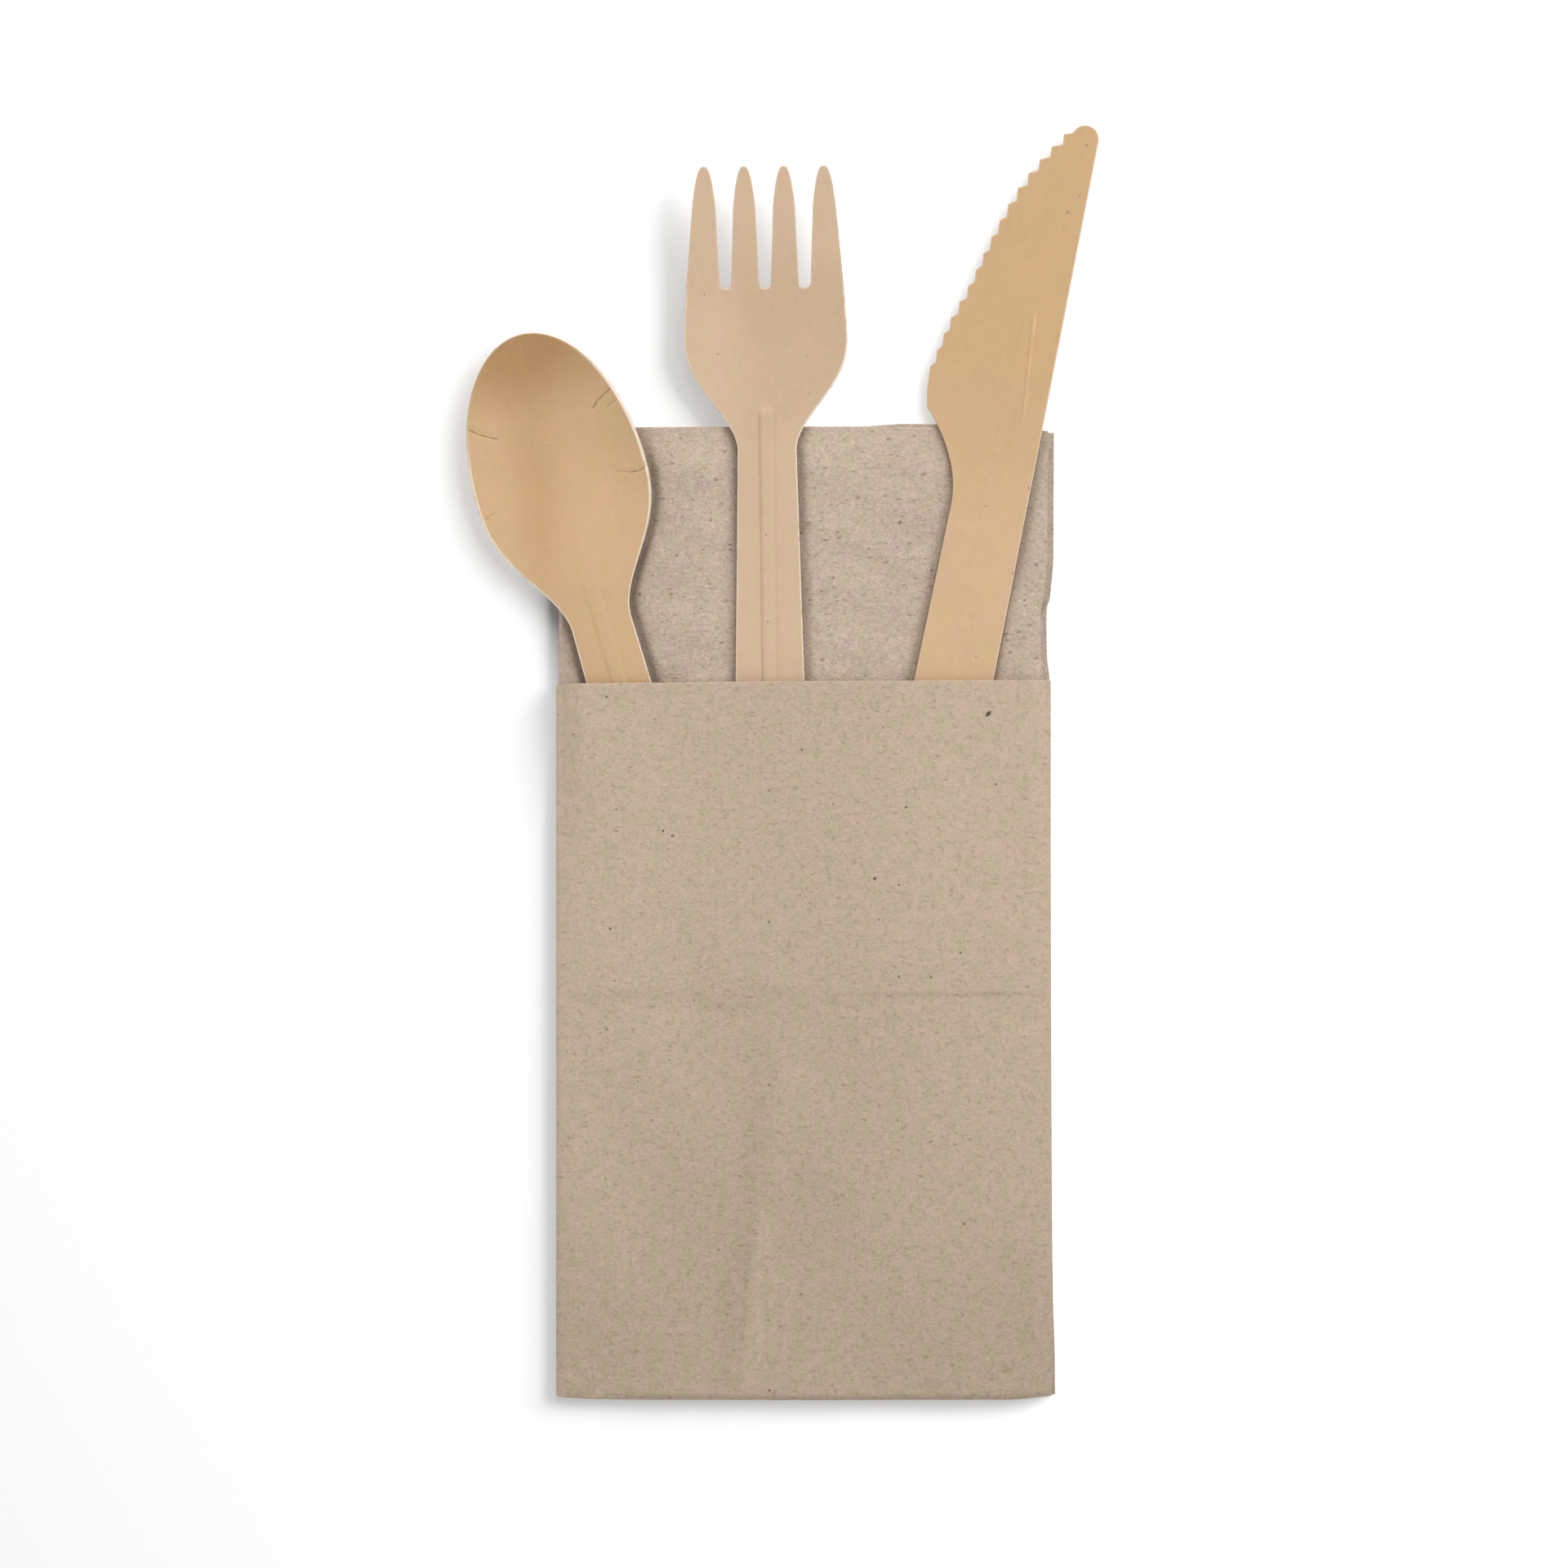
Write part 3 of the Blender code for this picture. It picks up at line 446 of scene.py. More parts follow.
def makeFork(material):
    f = fork
    footEnd = f["slotDepth"] + f["slotFootHalf"]
    shown = f["tip"][1] - board["mouth"] + board["hiddenBy"]
    s = joined(f["pointLength"] * np.linspace(0.08, 1.0, 16) ** 2.2,
               evenly(f["pointLength"], f["slotDepth"], 0.8 * mm),
               f["slotDepth"] + f["slotFootHalf"] * np.sin(np.linspace(0.0, 1.471, 9)),
               evenly(footEnd - 0.005 * mm, footEnd + 0.8 * mm, 0.1 * mm),
               evenly(footEnd + 0.8 * mm, f["neck"], 0.6 * mm),
               evenly(f["neck"], shown, 1.0 * mm),
               evenly(shown, f["length"] - board["endRound"], 5.0 * mm),
               f["length"] - board["endRound"] * (1.0 - np.sin(np.linspace(0.0, 1.51, 10))))
    half, gap = forkHalf(s), slotHalf(s)
    x = forkColumns(s, half, gap)
    rows = s[:, None] + 0.0 * x
    edge = (half[:, None] - np.abs(x)) * slantShare(half, s)[:, None]
    slant = slantShare(gap, s)[:, None]
    for centre in (np.arange(3) - 1.0) * f["pitch"]:
        beside = (np.abs(x - centre) - gap[:, None]) * slant
        behind = np.hypot(x - centre, rows - f["slotDepth"]) - f["slotFootHalf"]
        edge = np.minimum(edge, np.where(rows < f["slotDepth"], beside, behind))
    columnsPerTine = x.shape[1] // 4
    kept = np.ones((len(s) - 1, x.shape[1] - 1), bool)
    inSlot = s[1:] < footEnd
    for k in range(1, 4):
        kept[inSlot, k * columnsPerTine - 1] = False
    # The cut shows most along the right side of the head and the handle, least on the tines
    cream = 0.65 + 0.35 * smoothStep(x / (2.0 * mm) - 0.5)
    cream = cream * (0.25 + 0.75 * smoothStep((rows - f["slotDepth"]) / (4.0 * mm)))
    # The head is a little darker from its middle to its right side, as painted shade
    dark = 0.85 * smoothStep((x + 11.0 * mm) / (10.0 * mm)) * smoothStep(
        (rows - 12.0 * mm) / (16.0 * mm)) * (1.0 - smoothStep((rows - 48.0 * mm) / (10.0 * mm)))
    piece = pressedBoard("fork_pressed", f, rows, x, forkHeight(rows, x), np.maximum(edge, 0.0),
                         cream, {"paintedShadeAndTone": dark}, material, kept)
    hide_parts("fork")
    return piece


# Spoon

spoon = {
    "tip": (-0.057163, 0.115422), "turn": 16.0, "length": 0.160, "out": 0.0717,
    "front": 0.030, "bowlHalf": 0.0174, "depth": 0.0046, "deepest": 0.026, "bowlEnd": 0.054,
    "lean": 1.3, "neck": 0.060, "neckHalf": 0.0061, "endHalf": 0.0076,
    "ribStart": 0.047, "ribFade": 0.010, "ribHeight": 0.0002, "rest": 0.110,
    # Wrinkles at the rim, in millimetres to the right and behind the tip, with their strength
    "wrinkles": ((1.0, ((14.9, 15.2), (13.3, 15.9), (11.6, 16.7), (10.2, 17.9))),
                 (0.6, ((15.4, 17.7), (14.3, 17.9), (13.0, 18.5))),
                 (1.0, ((17.2, 32.2), (15.6, 32.6), (13.9, 32.3))),
                 (0.4, ((13.9, 32.3), (12.2, 31.6), (11.1, 31.2))),
                 (0.9, ((-15.1, 15.3), (-13.3, 16.8), (-11.6, 17.8), (-9.9, 18.6))),
                 (0.4, ((-16.9, 33.7), (-15.6, 33.0), (-14.4, 32.9)))),
    "wrinkleDepth": 0.14 * mm, "wrinkleWidth": 0.55 * mm,
}


def besideLine(x, y, points):
    # How far places are from a line through the points
    far = np.full(np.broadcast(x, y).shape, 1.0)
    for (x0, y0), (x1, y1) in zip(points, points[1:]):
        runX, runY = x1 - x0, y1 - y0
        t = np.clip(((x - x0) * runX + (y - y0) * runY) / (runX ** 2 + runY ** 2), 0.0, 1.0)
        far = np.minimum(far, np.hypot(x - x0 - t * runX, y - y0 - t * runY))
    return far


def spoonHalf(s):
    # Half an ellipse, the shoulder, the handle
    p = spoon
    front = p["bowlHalf"] * np.sqrt(np.clip(1.0 - (1.0 - s / p["front"]) ** 2, 0.0, 1.0))
    neck = shoulder(s, p["front"], p["neck"], p["bowlHalf"], p["neckHalf"], p["lean"])
    return np.select([s < p["front"], s < p["neck"]], [front, neck], handleHalf(s, p))


def spoonHeight(s, x, half):
    # A dish: a parabola across, along it a parabola in front and half a cosine wave behind
    p = spoon
    fore = 1.0 - (1.0 - s / p["deepest"]) ** 2
    t = np.clip((s - p["deepest"]) / (p["bowlEnd"] - p["deepest"]), 0.0, 1.0)
    along = np.where(s < p["deepest"], fore, (1.0 + np.cos(math.pi * t)) / 2.0)
    across = 1.0 - (x / half) ** 2
    bow = bowed(s, p["depth"], p["deepest"], p["rest"])
    folds = sum(strength * bell(besideLine(x, s, np.array(line) * mm), p["wrinkleWidth"])
                for strength, line in p["wrinkles"])
    return (bow + ribHeight(s, x, p) - p["depth"] * along * across
            - p["wrinkleDepth"] * np.minimum(folds, 1.0))


def makeSpoon(material):
    p = spoon
    shown = p["out"] + board["hiddenBy"]
    s = joined(p["front"] * (1.0 - np.cos(np.linspace(0.04, math.pi / 2.0, 96))),
               evenly(p["front"], 0.036, 0.3 * mm),
               evenly(0.036, p["neck"], 0.5 * mm),
               evenly(p["neck"], shown, 0.8 * mm),
               evenly(shown, p["length"] - board["endRound"], 5.0 * mm),
               p["length"] - board["endRound"] * (1.0 - np.sin(np.linspace(0.0, 1.51, 10))))
    half = spoonHalf(s)
    x = stripColumns(-half, half, 0.0 * s, 24, 44)
    rows = s[:, None] + 0.0 * x
    edge = (half[:, None] - np.abs(x)) * slantShare(half, s)[:, None]
    # The cut shows along the right side from behind the tip, and along the lower left side
    cream = np.where(x > 0.0, smoothStep((rows - 5.0 * mm) / (12.0 * mm)),
                     0.9 * smoothStep((rows - 13.0 * mm) / (14.0 * mm)))
    # Painted shade darkens the front of the bowl, and less a band down its middle and a patch on its lower
    # left
    dark = (1.0 - smoothStep((rows - 2.0 * mm) / (17.0 * mm))) * (
        1.0 - 0.45 * smoothStep((np.abs(x + 1.0 * mm) - 5.0 * mm) / (12.0 * mm)))
    dark = dark + 0.50 * bell(rows - 29.0 * mm, 22.0 * mm) * bell(x + 0.17 * rows, 6.0 * mm)
    dark = dark + 0.15 * bell(rows - 41.0 * mm, 10.0 * mm) * bell(x + 7.0 * mm, 8.0 * mm)
    piece = pressedBoard("spoon_pressed", p, rows, x, spoonHeight(rows, x, half[:, None]),
                         np.maximum(edge, 0.0), cream, {"paintedShadeAndTone": np.minimum(dark, 1.0)}, material)
    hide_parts("spoon")
    return piece


# Knife, with widths counted from its straight spine

knife = {
    "tip": (0.059339, 0.157307), "turn": -11.05, "length": 0.165, "out": 0.1129,
    "tipRadius": 0.00275, "tipArc": 50.0,
    "teeth": 16, "firstTooth": 0.0025, "toothedLength": 0.0508, "firstStep": 0.0004,
    "fall": 0.00018, "ledge": 0.72, "soften": 0.00012,
    "toothNumbers": (0.0, 0.2, 0.5, 1.0),       # number of a crest as a share of the last one
    "toothPlaces": (0.0, 0.178, 0.489, 1.0),    # and its place as a share of the toothed edge
    "crestShares": (0.0, 0.11, 0.24, 0.38, 0.52, 0.66, 0.79, 1.0),
    "crests": (0.0071, 0.0107, 0.0140, 0.0164, 0.0183, 0.0201, 0.0222, 0.0245),
    "belly": (0.0050, 0.0082, 0.0090, 0.0105),
    "bellyWidths": (0.0242, 0.0236, 0.0228, 0.0215),
    "heelRun": 0.016, "neckWidth": 0.0151, "endWidth": 0.0163,
    "ribStart": 0.038, "ribFade": 0.006, "ribHeight": 0.00016,
    "ribFore": 0.0066, "ribAft": 0.0079, "ribStraight": 0.076,
}
lastCrest = knife["firstTooth"] + knife["toothedLength"]
heel = lastCrest + knife["belly"][-1]


def bladeOutline():
    # Places behind the tip and widths: the tip's arc, the teeth, the belly and the heel. Behind
    # each crest the edge falls back a little, and then it steps out to the next one.
    k = knife
    arc = np.radians(np.linspace(2.0, k["tipArc"], 16))
    share = smoothCurve(k["toothNumbers"], k["toothPlaces"], np.linspace(0.0, 1.0, k["teeth"]))
    at = k["firstTooth"] + share * k["toothedLength"]
    crests = smoothCurve(k["crestShares"], k["crests"], share)
    teeth = np.stack([at[:-1], at[:-1] + k["ledge"] * np.diff(at)], axis=1).ravel()
    widths = np.stack([crests[:-1], crests[:-1] - k["fall"]], axis=1).ravel()
    places = np.concatenate([k["tipRadius"] * (1.0 - np.cos(arc)),
                             [k["firstTooth"] - k["firstStep"]], teeth, at[-1:],
                             at[-1] + np.array(k["belly"])])
    outline = np.concatenate([k["tipRadius"] * (1.0 + np.sin(arc)), [2.0 * k["tipRadius"]],
                              widths, crests[-1:], k["bellyWidths"]])
    return places, outline


def handleWidth(s):
    # A hollow parabola from the heel to the neck, then evenly wider
    k = knife
    neck = heel + k["heelRun"]
    t = np.clip((neck - s) / k["heelRun"], 0.0, 1.0)
    along = np.clip((s - neck) / (k["length"] - board["endRound"] - neck), 0.0, 1.0)
    even = k["neckWidth"] + (k["endWidth"] - k["neckWidth"]) * along
    return even + (k["bellyWidths"][-1] - k["neckWidth"]) * t * t


def knifeEdge(s):
    # Straight from point to point, with the corners of the teeth softened by a short average
    places, outline = bladeOutline()
    near = [np.interp(s + way * knife["soften"], places, outline) for way in (-1.0, 0.0, 1.0)]
    blade = np.where(s < knife["firstTooth"] - knife["firstStep"], near[1], sum(near) / 3.0)
    return np.where(s < heel, blade, handleWidth(s) * (1.0 + endRounding(s, knife["length"])) / 2.0)


def knifeSpine(s):
    # Straight, but for the round tip and the rounded end
    r = knife["tipRadius"]
    past = np.clip(1.0 - s / r, 0.0, 1.0)
    tip = -r * (1.0 - np.sqrt(np.clip(1.0 - past * past, 0.0, 1.0)))
    end = -handleWidth(s) * (1.0 - endRounding(s, knife["length"])) / 2.0
    return np.where(s < r, tip, np.where(s < heel, 0.0, end))


def knifeRib(s):
    k = knife
    t = np.clip((s - k["ribStart"]) / (k["ribStraight"] - k["ribStart"]), 0.0, 1.0)
    middle = (knifeEdge(s) - knifeSpine(s)) / 2.0
    return -np.minimum(k["ribFore"] + (k["ribAft"] - k["ribFore"]) * t, middle)


def makeKnife(material):
    k = knife
    shown = k["out"] + board["hiddenBy"]
    arcEnd = k["tipRadius"] * (1.0 - math.cos(math.radians(k["tipArc"])))
    s = joined(k["tipRadius"] * (1.0 - np.cos(np.linspace(0.05, math.radians(k["tipArc"]), 12))),
               evenly(arcEnd, lastCrest, 0.13 * mm),
               evenly(lastCrest, heel + k["heelRun"], 0.5 * mm),
               evenly(heel + k["heelRun"], shown, 1.0 * mm),
               evenly(shown, k["length"] - board["endRound"], 5.0 * mm),
               k["length"] - board["endRound"] * (1.0 - np.sin(np.linspace(0.0, 1.51, 10))))
    toothed, spine, rib = -knifeEdge(s), knifeSpine(s), knifeRib(s)
    x = stripColumns(toothed, spine, rib, 24, 10)
    rows = s[:, None] + 0.0 * x
    edge = np.minimum((x - toothed[:, None]) * slantShare(toothed, s)[:, None],
                      (spine[:, None] - x) * slantShare(spine, s)[:, None])
    cream = 0.15 + 0.35 * smoothStep(x / (2.0 * mm) + 1.5)      # more along the spine
    # The board is darker towards the tip
    dark = (1.0 - smoothStep((rows - 45.0 * mm) / (45.0 * mm))) * np.ones_like(x)
    piece = pressedBoard("knife_pressed", k, rows, x, ribHeight(rows, x - rib[:, None], k),
                         np.maximum(edge, 0.0), cream, {"paintedShadeAndTone": dark}, material)
    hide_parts("knife")
    return piece


# Napkin: one square sheet, folded in four across its width, then up into the pocket, and its
# edge turned down inside the mouth. Panels in order across the sheet: bottom, front, second
# and third; the layers of the back, the pocket and the lip lie along it.

napkin = {
    "width": 0.100, "back": 0.195, "pocket": 0.144, "lip": 0.063,
    "tissue": 0.0002, "gap": 0.00006, "rawReach": 0.0007,
    "sideReach": 0.0042, "drapeMargin": 0.0016, "drapeReach": 0.020, "endReach": 0.036,
    "drapeRoom": 0.0005,
    "lipDrop": 0.0002,        # the lip hangs below the front by this over the handles
    "swell": 0.0012,          # the back swells by this close beside the cutlery
    "swellReach": 0.0017,
    "farSwell": 0.0003,       # and by this more farther away
    "farReach": 0.0070,
    "crevice": 0.00025,       # it stays level up to this far from a cut edge
}
layer = napkin["tissue"] + napkin["gap"]
panelTop = napkin["tissue"] / 2.0 + 9.0 * layer
lipUnderside = panelTop + layer - napkin["tissue"] / 2.0
boardTop = board["seat"] + board["thickness"] / 2.0
leftFold = -napkin["width"] / 2.0 + (panelTop - napkin["tissue"] / 2.0 - 2.0 * layer) / 2.0 \
    + 2.0 * layer + napkin["tissue"] / 2.0
rightFold = napkin["width"] / 2.0 - napkin["rawReach"] - 2.5 * layer - napkin["tissue"] / 2.0


def pieceCoordinates(x, y, shape):
    # How far a place on the table is behind a piece's tip and to the right of its middle
    turn = math.radians(shape["turn"])
    dx, dy = x - shape["tip"][0], y - shape["tip"][1]
    return dx * math.sin(turn) - dy * math.cos(turn), dx * math.cos(turn) + dy * math.sin(turn)


def handleCover(x, y, shape, middle, half, top):
    # One handle lifts the front to its own top, and an S falls away beside it and past its end
    s, w = pieceCoordinates(x, y, shape)
    beside = (np.abs(w - middle) - half - napkin["drapeMargin"]) / napkin["drapeReach"]
    past = (s - shape["length"] - napkin["drapeMargin"]) / napkin["endReach"]
    lift = top(np.minimum(s, shape["length"])) + napkin["drapeRoom"] - lipUnderside
    return lift * (1.0 - smoothStep(beside)) * (1.0 - smoothStep(past))


def insideShare(x):
    # 0 at the side folds and 1 a short way in, along a parabola
    inside = np.clip(np.minimum(x - leftFold, rightFold - x) / napkin["sideReach"], 0.0, 1.0)
    return 1.0 - (1.0 - inside) ** 2


def coverRise(x, y):
    # The front over the three handles: the fourth root of the sum of their fourth powers
    forkLowest = (fork["dishStart"] + fork["dishEnd"]) / 2.0
    lifts = (
        handleCover(x, y, fork, 0.0, fork["endHalf"], lambda s: boardTop + fork["ribHeight"]
                    + bowed(s, fork["dish"], forkLowest, fork["rest"])),
        handleCover(x, y, knife, -knife["endWidth"] / 2.0, knife["endWidth"] / 2.0,
                    lambda s: boardTop + knife["ribHeight"] + 0.0 * s),
        handleCover(x, y, spoon, 0.0, spoon["endHalf"], lambda s: boardTop + spoon["ribHeight"]
                    + bowed(s, spoon["depth"], spoon["deepest"], spoon["rest"])),
    )
    return sum(lift ** 4 for lift in lifts) ** 0.25 * insideShare(x)


def frontRelief(x, y):
    # What time in a pack has left on the front: the lip's edge shows through as a low step, a
    # crease runs down the lower half as a low ridge, and the tissue waves a little
    right = smoothStep((x - 2.0 * mm) / (8.0 * mm))
    step = (0.03 + 0.22 * right) * mm * smoothStep((y + 16.6 * mm) / (0.9 * mm))
    soft = 0.20 * mm * bell(y + 17.6 * mm, 1.8 * mm) * smoothStep((-18.0 * mm - x) / (8.0 * mm))
    along = (-20.0 * mm - y) / (75.4 * mm)
    crease = x - (-5.9 * mm - 8.2 * mm * along)
    ridge = 0.50 * mm * (bell(crease, 2.2 * mm) + 0.5 * smoothStep((crease + 6.0 * mm) / (9.0 * mm)))
    ridge = ridge * smoothStep((along + 0.02) / 0.25)
    pinch = 0.12 * mm * bell(y + 51.2 * mm, 1.2 * mm) * bell(x + 11.0 * mm, 7.0 * mm)
    dent = 0.35 * mm * bell(y + 21.5 * mm, 2.2 * mm) * smoothStep((x - 36.0 * mm) / (9.0 * mm))
    swell = 0.30 * mm * (1.0 + 0.6 * waves(x, y, 34.0 * mm, 5, 3))
    ripple = 0.07 * mm * (1.0 + 0.6 * waves(x, y, 9.0 * mm, 7, 4))
    return (step - soft + ridge + pinch - dent + swell + ripple) * insideShare(x)


def beyond(x, y, shape, left, right):
    # How far a place is outside the outline of a piece, measured across it
    s, w = pieceCoordinates(x, y, shape)
    return np.maximum(w - right(s), left(s) - w)


def beyondCutlery(x, y):
    # How far a place is outside the nearest of the three outlines
    return np.minimum.reduce([
        beyond(x, y, fork, lambda s: -forkHalf(s), forkHalf),
        beyond(x, y, spoon, lambda s: -spoonHalf(s), spoonHalf),
        beyond(x, y, knife, lambda s: -knifeEdge(s), knifeSpine)])


def backRelief(x, y):
    # The back swells beside the cutlery that presses on it, and it is level under it
    far = beyondCutlery(x, y)
    near = smoothStep((far - napkin["crevice"]) / napkin["swellReach"])
    wide = smoothStep((far - napkin["crevice"]) / napkin["farReach"])
    swell = napkin["swell"] * near * (1.0 + 0.22 * waves(x, y, 12.0 * mm, 6, 8))
    swell = swell + napkin["farSwell"] * wide
    rough = 0.035 * mm * near * (1.0 + waves(x, y, 3.0 * mm, 9, 9))
    ends = smoothStep((y - 37.0 * mm) / (9.0 * mm)) * (
        1.0 - 0.75 * smoothStep((y - 88.0 * mm) / (9.5 * mm)))
    return (swell + rough) * ends * insideShare(x)


def acrossSheet():
    # Section from one raw edge to the other: place, height, direction in which the pocket's
    # layers lie on it, place on the flat sheet, panel (0 bottom, 1 front, 2 second, 3 third)
    raw = napkin["width"] / 2.0
    bottom = napkin["tissue"] / 2.0 + 2.0 * layer
    second, third = bottom + layer, panelTop - layer

    def run(x, z, outX, outZ, flat, panel):
        blank = np.zeros(len(x))
        return np.stack([x, blank + z, blank + outX, blank + outZ, flat, blank + panel])

    def bend(centreX, low, high, first, last, count, way, flat, panel):
        a = np.linspace(first, last, count + 1)[1:-1] * math.pi
        centre, radius = (low + high) / 2.0, (high - low) / 2.0
        return run(centreX + radius * np.cos(a), centre + radius * np.sin(a), way * np.cos(a),
                   way * np.sin(a), np.linspace(*flat, count + 1)[1:-1], panel)

    edge, fine, plain, hidden = 6.0 * mm, 0.45 * mm, 0.62 * mm, 10.0 * mm
    under = evenly(raw, leftFold, hidden)
    front = joined(evenly(leftFold, leftFold + edge, fine),
                   evenly(leftFold + edge, rightFold - edge, plain),
                   evenly(rightFold - edge, rightFold, fine))
    back = evenly(rightFold, leftFold, hidden)
    last = evenly(leftFold, raw, hidden)
    return np.concatenate([
        run(under, bottom, 0.0, -1.0, 0.05 - under, 0),
        bend(leftFold, bottom, panelTop, 1.5, 0.5, 8, 1.0, (0.0985, 0.1015), 0),
        run(front, panelTop, 0.0, 1.0, 0.15 + front, 1),
        bend(rightFold, third, panelTop, 0.5, -0.5, 6, 1.0, (0.1986, 0.2014), 2),
        run(back, third, 0.0, -1.0, 0.25 - back, 2),
        bend(leftFold, second, third, 0.5, 1.5, 6, -1.0, (0.2985, 0.3015), 3),
        run(last, second, 0.0, 1.0, 0.35 + last, 3)], axis=1)


def alongSheet():
    # Section from the top edge of the back, round the bottom fold, up the pocket and down its
    # lip: place, height over the back, outward direction, place on the flat sheet, layer (0
    # back, 1 pocket, 2 lip)
    top, bottom = napkin["back"] / 2.0, -napkin["back"] / 2.0
    fold = bottom + layer + napkin["tissue"] / 2.0
    turn = board["mouth"] - layer / 2.0 - napkin["tissue"] / 2.0
    lipEnd = board["mouth"] - napkin["lip"]

    def run(y, height, way, flat, part):
        blank = np.zeros(len(y))
        return np.stack([y, blank + height, blank, blank + way, flat, blank + part])

    def bend(centreY, middle, radius, first, last, count, flat, part):
        a = np.linspace(first, last, count + 1)[1:-1] * math.pi
        return np.stack([centreY + radius * np.cos(a), middle + radius * np.sin(a), np.cos(a),
                         np.sin(a), np.linspace(*flat, count + 1)[1:-1], 0.0 * a + part])

    back = joined(evenly(top, top - 6.0 * mm, 0.5 * mm), evenly(top - 6.0 * mm, 44.0 * mm, 0.7 * mm),
                  evenly(44.0 * mm, fold, 18.0 * mm))
    pocket = joined(evenly(fold, lipEnd - 2.0 * mm, 1.4 * mm),
                    evenly(lipEnd - 2.0 * mm, lipEnd + 2.0 * mm, 0.4 * mm),
                    evenly(lipEnd + 2.0 * mm, turn - 4.0 * mm, 1.4 * mm),
                    evenly(turn - 4.0 * mm, turn, 0.5 * mm))
    lip = evenly(turn, lipEnd, 7.0 * mm)
    return np.concatenate([
        run(back, 0.0, -1.0, top - back, 0),
        bend(fold, layer, layer, 1.5, 0.5, 7, (0.1947, 0.1953), 0),
        run(pocket, 2.0 * layer, 1.0, 0.2925 + pocket, 1),
        bend(turn, 1.5 * layer, 0.5 * layer, 0.5, -0.5, 7, (0.3387, 0.3391), 1),
        run(lip, layer, -1.0, 0.3855 - lip, 2)], axis=1)


def pulled(x, y, panel, part):
    # How the layers slipped on each other in the folding, as shifts of their edges in plan
    right = smoothStep((x - 30.0 * mm) / (20.0 * mm)) * mm
    backPull = smoothCurve((-0.0975, -0.088, -0.075, -0.02, 0.04, 0.047, 0.052, 0.0587, 0.0617,
                            0.0632, 0.0652, 0.0685, 0.072, 0.0975),
                           (0.2, 0.1, -0.3, -0.6, -0.7, -0.9, -1.4, -1.5, -1.35, -0.8, -0.62,
                            -0.3, -0.1, 0.0), y)
    frontPull = smoothCurve((-0.0975, -0.086, -0.076, -0.017, 0.0465), (0.2, 0.5, 0.2, 0.0, 0.0), y)
    onFront = (part > 0) & (panel > 0) & (panel < 3)
    mouthTilt = smoothCurve((-0.05, -0.025, -0.005, 0.02, 0.05), (-0.55, -0.3, 0.0, 0.1, 0.25), x)
    top = np.select(
        [panel == 1, panel == 2],
        [smoothCurve((-0.05, 0.01, 0.03, 0.05), (-0.1, 0.1, -0.1, -0.85), x),
         smoothCurve((-0.05, 0.011, 0.0145, 0.024, 0.034, 0.05), (0.0, 0.0, 0.65, 0.75, 0.3, -0.85),
                     x)],
        smoothCurve((-0.05, 0.0, 0.05), (0.0, -0.2, -1.0), x))
    bottom = smoothCurve((-0.05, -0.042, -0.03, 0.0, 0.04, 0.05),
                         (0.45, 0.0, -0.15, -0.2, -0.15, 0.75), x)
    up = (y + napkin["back"] / 2.0) / napkin["pocket"]
    shift = np.where(part > 0, mouthTilt * np.clip(up, 0.0, 1.0) ** 2,
                     top * np.clip((y - 60.0 * mm) / (37.5 * mm), 0.0, 1.0))
    shift = shift + bottom * (1.0 - smoothStep(up / 0.1))
    return right * np.where(onFront, frontPull, backPull), shift * mm


def sheetPoints(across, along, offset):
    # Points of the folded sheet, offset from its middle along its outward direction
    x, z, outX, outZ, flatX, panel = across[:, :, None]
    y, height, outY, outHeight, flatY, part = along[:, None, :]
    rise = coverRise(x, y)
    step = 0.1 * mm
    stretch = np.sqrt(1.0 + ((coverRise(x + step, y) - coverRise(x - step, y)) / (2.0 * step)) ** 2
                      + ((coverRise(x, y + step) - coverRise(x, y - step)) / (2.0 * step)) ** 2)
    height = height + offset * outHeight
    drop = napkin["lipDrop"] * smoothStep(rise / mm) * (part == 2) * smoothStep(
        (board["mouth"] - y) / (8.0 * mm))
    lifted = z + rise + frontRelief(x, y) + height * stretch - drop
    level = z + outZ * height + np.where((panel == 1) & (part == 0), backRelief(x, y), 0.0)
    raised = (panel == 1) & (part > 0)
    shiftX, shiftY = pulled(x, y, panel, part)
    return np.stack([np.where(raised, x, x + outX * height) + shiftX,
                     y + offset * outY + shiftY,
                     np.where(raised, lifted, level)], axis=-1).reshape(-1, 3)


def makeNapkin(material):
    across, along = acrossSheet(), alongSheet()
    half = napkin["tissue"] / 2.0
    points = np.concatenate([sheetPoints(across, along, half), sheetPoints(across, along, -half)])
    columns, rows = across.shape[1], along.shape[1]
    outer = gridFaces(columns, rows)
    count = columns * rows
    faces = np.concatenate([outer, outer[:, ::-1] + count, rimFaces(outer, count)])
    flat = np.stack(np.broadcast_arrays(across[4][:, None], along[4][None, :]), axis=-1)
    flat = flat.reshape(-1, 2)
    # Painted contact shade darkens the tissue where the cutlery lies against it
    far = beyondCutlery(across[0][:, None], along[0][None, :])
    paintedContactShade = (1.0 - smoothStep(far / (3.2 * mm))) * (along[5] == 0)
    paintedContactShade = np.where(across[5][:, None] == 1, paintedContactShade, 0.0).ravel()
    piece = addPiece("napkin_sheet", points, faces, np.concatenate([flat, flat]),
                     {"paintedContactShade": np.concatenate([paintedContactShade, paintedContactShade])}, material)
    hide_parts("napkin")
    return piece


# Finishes

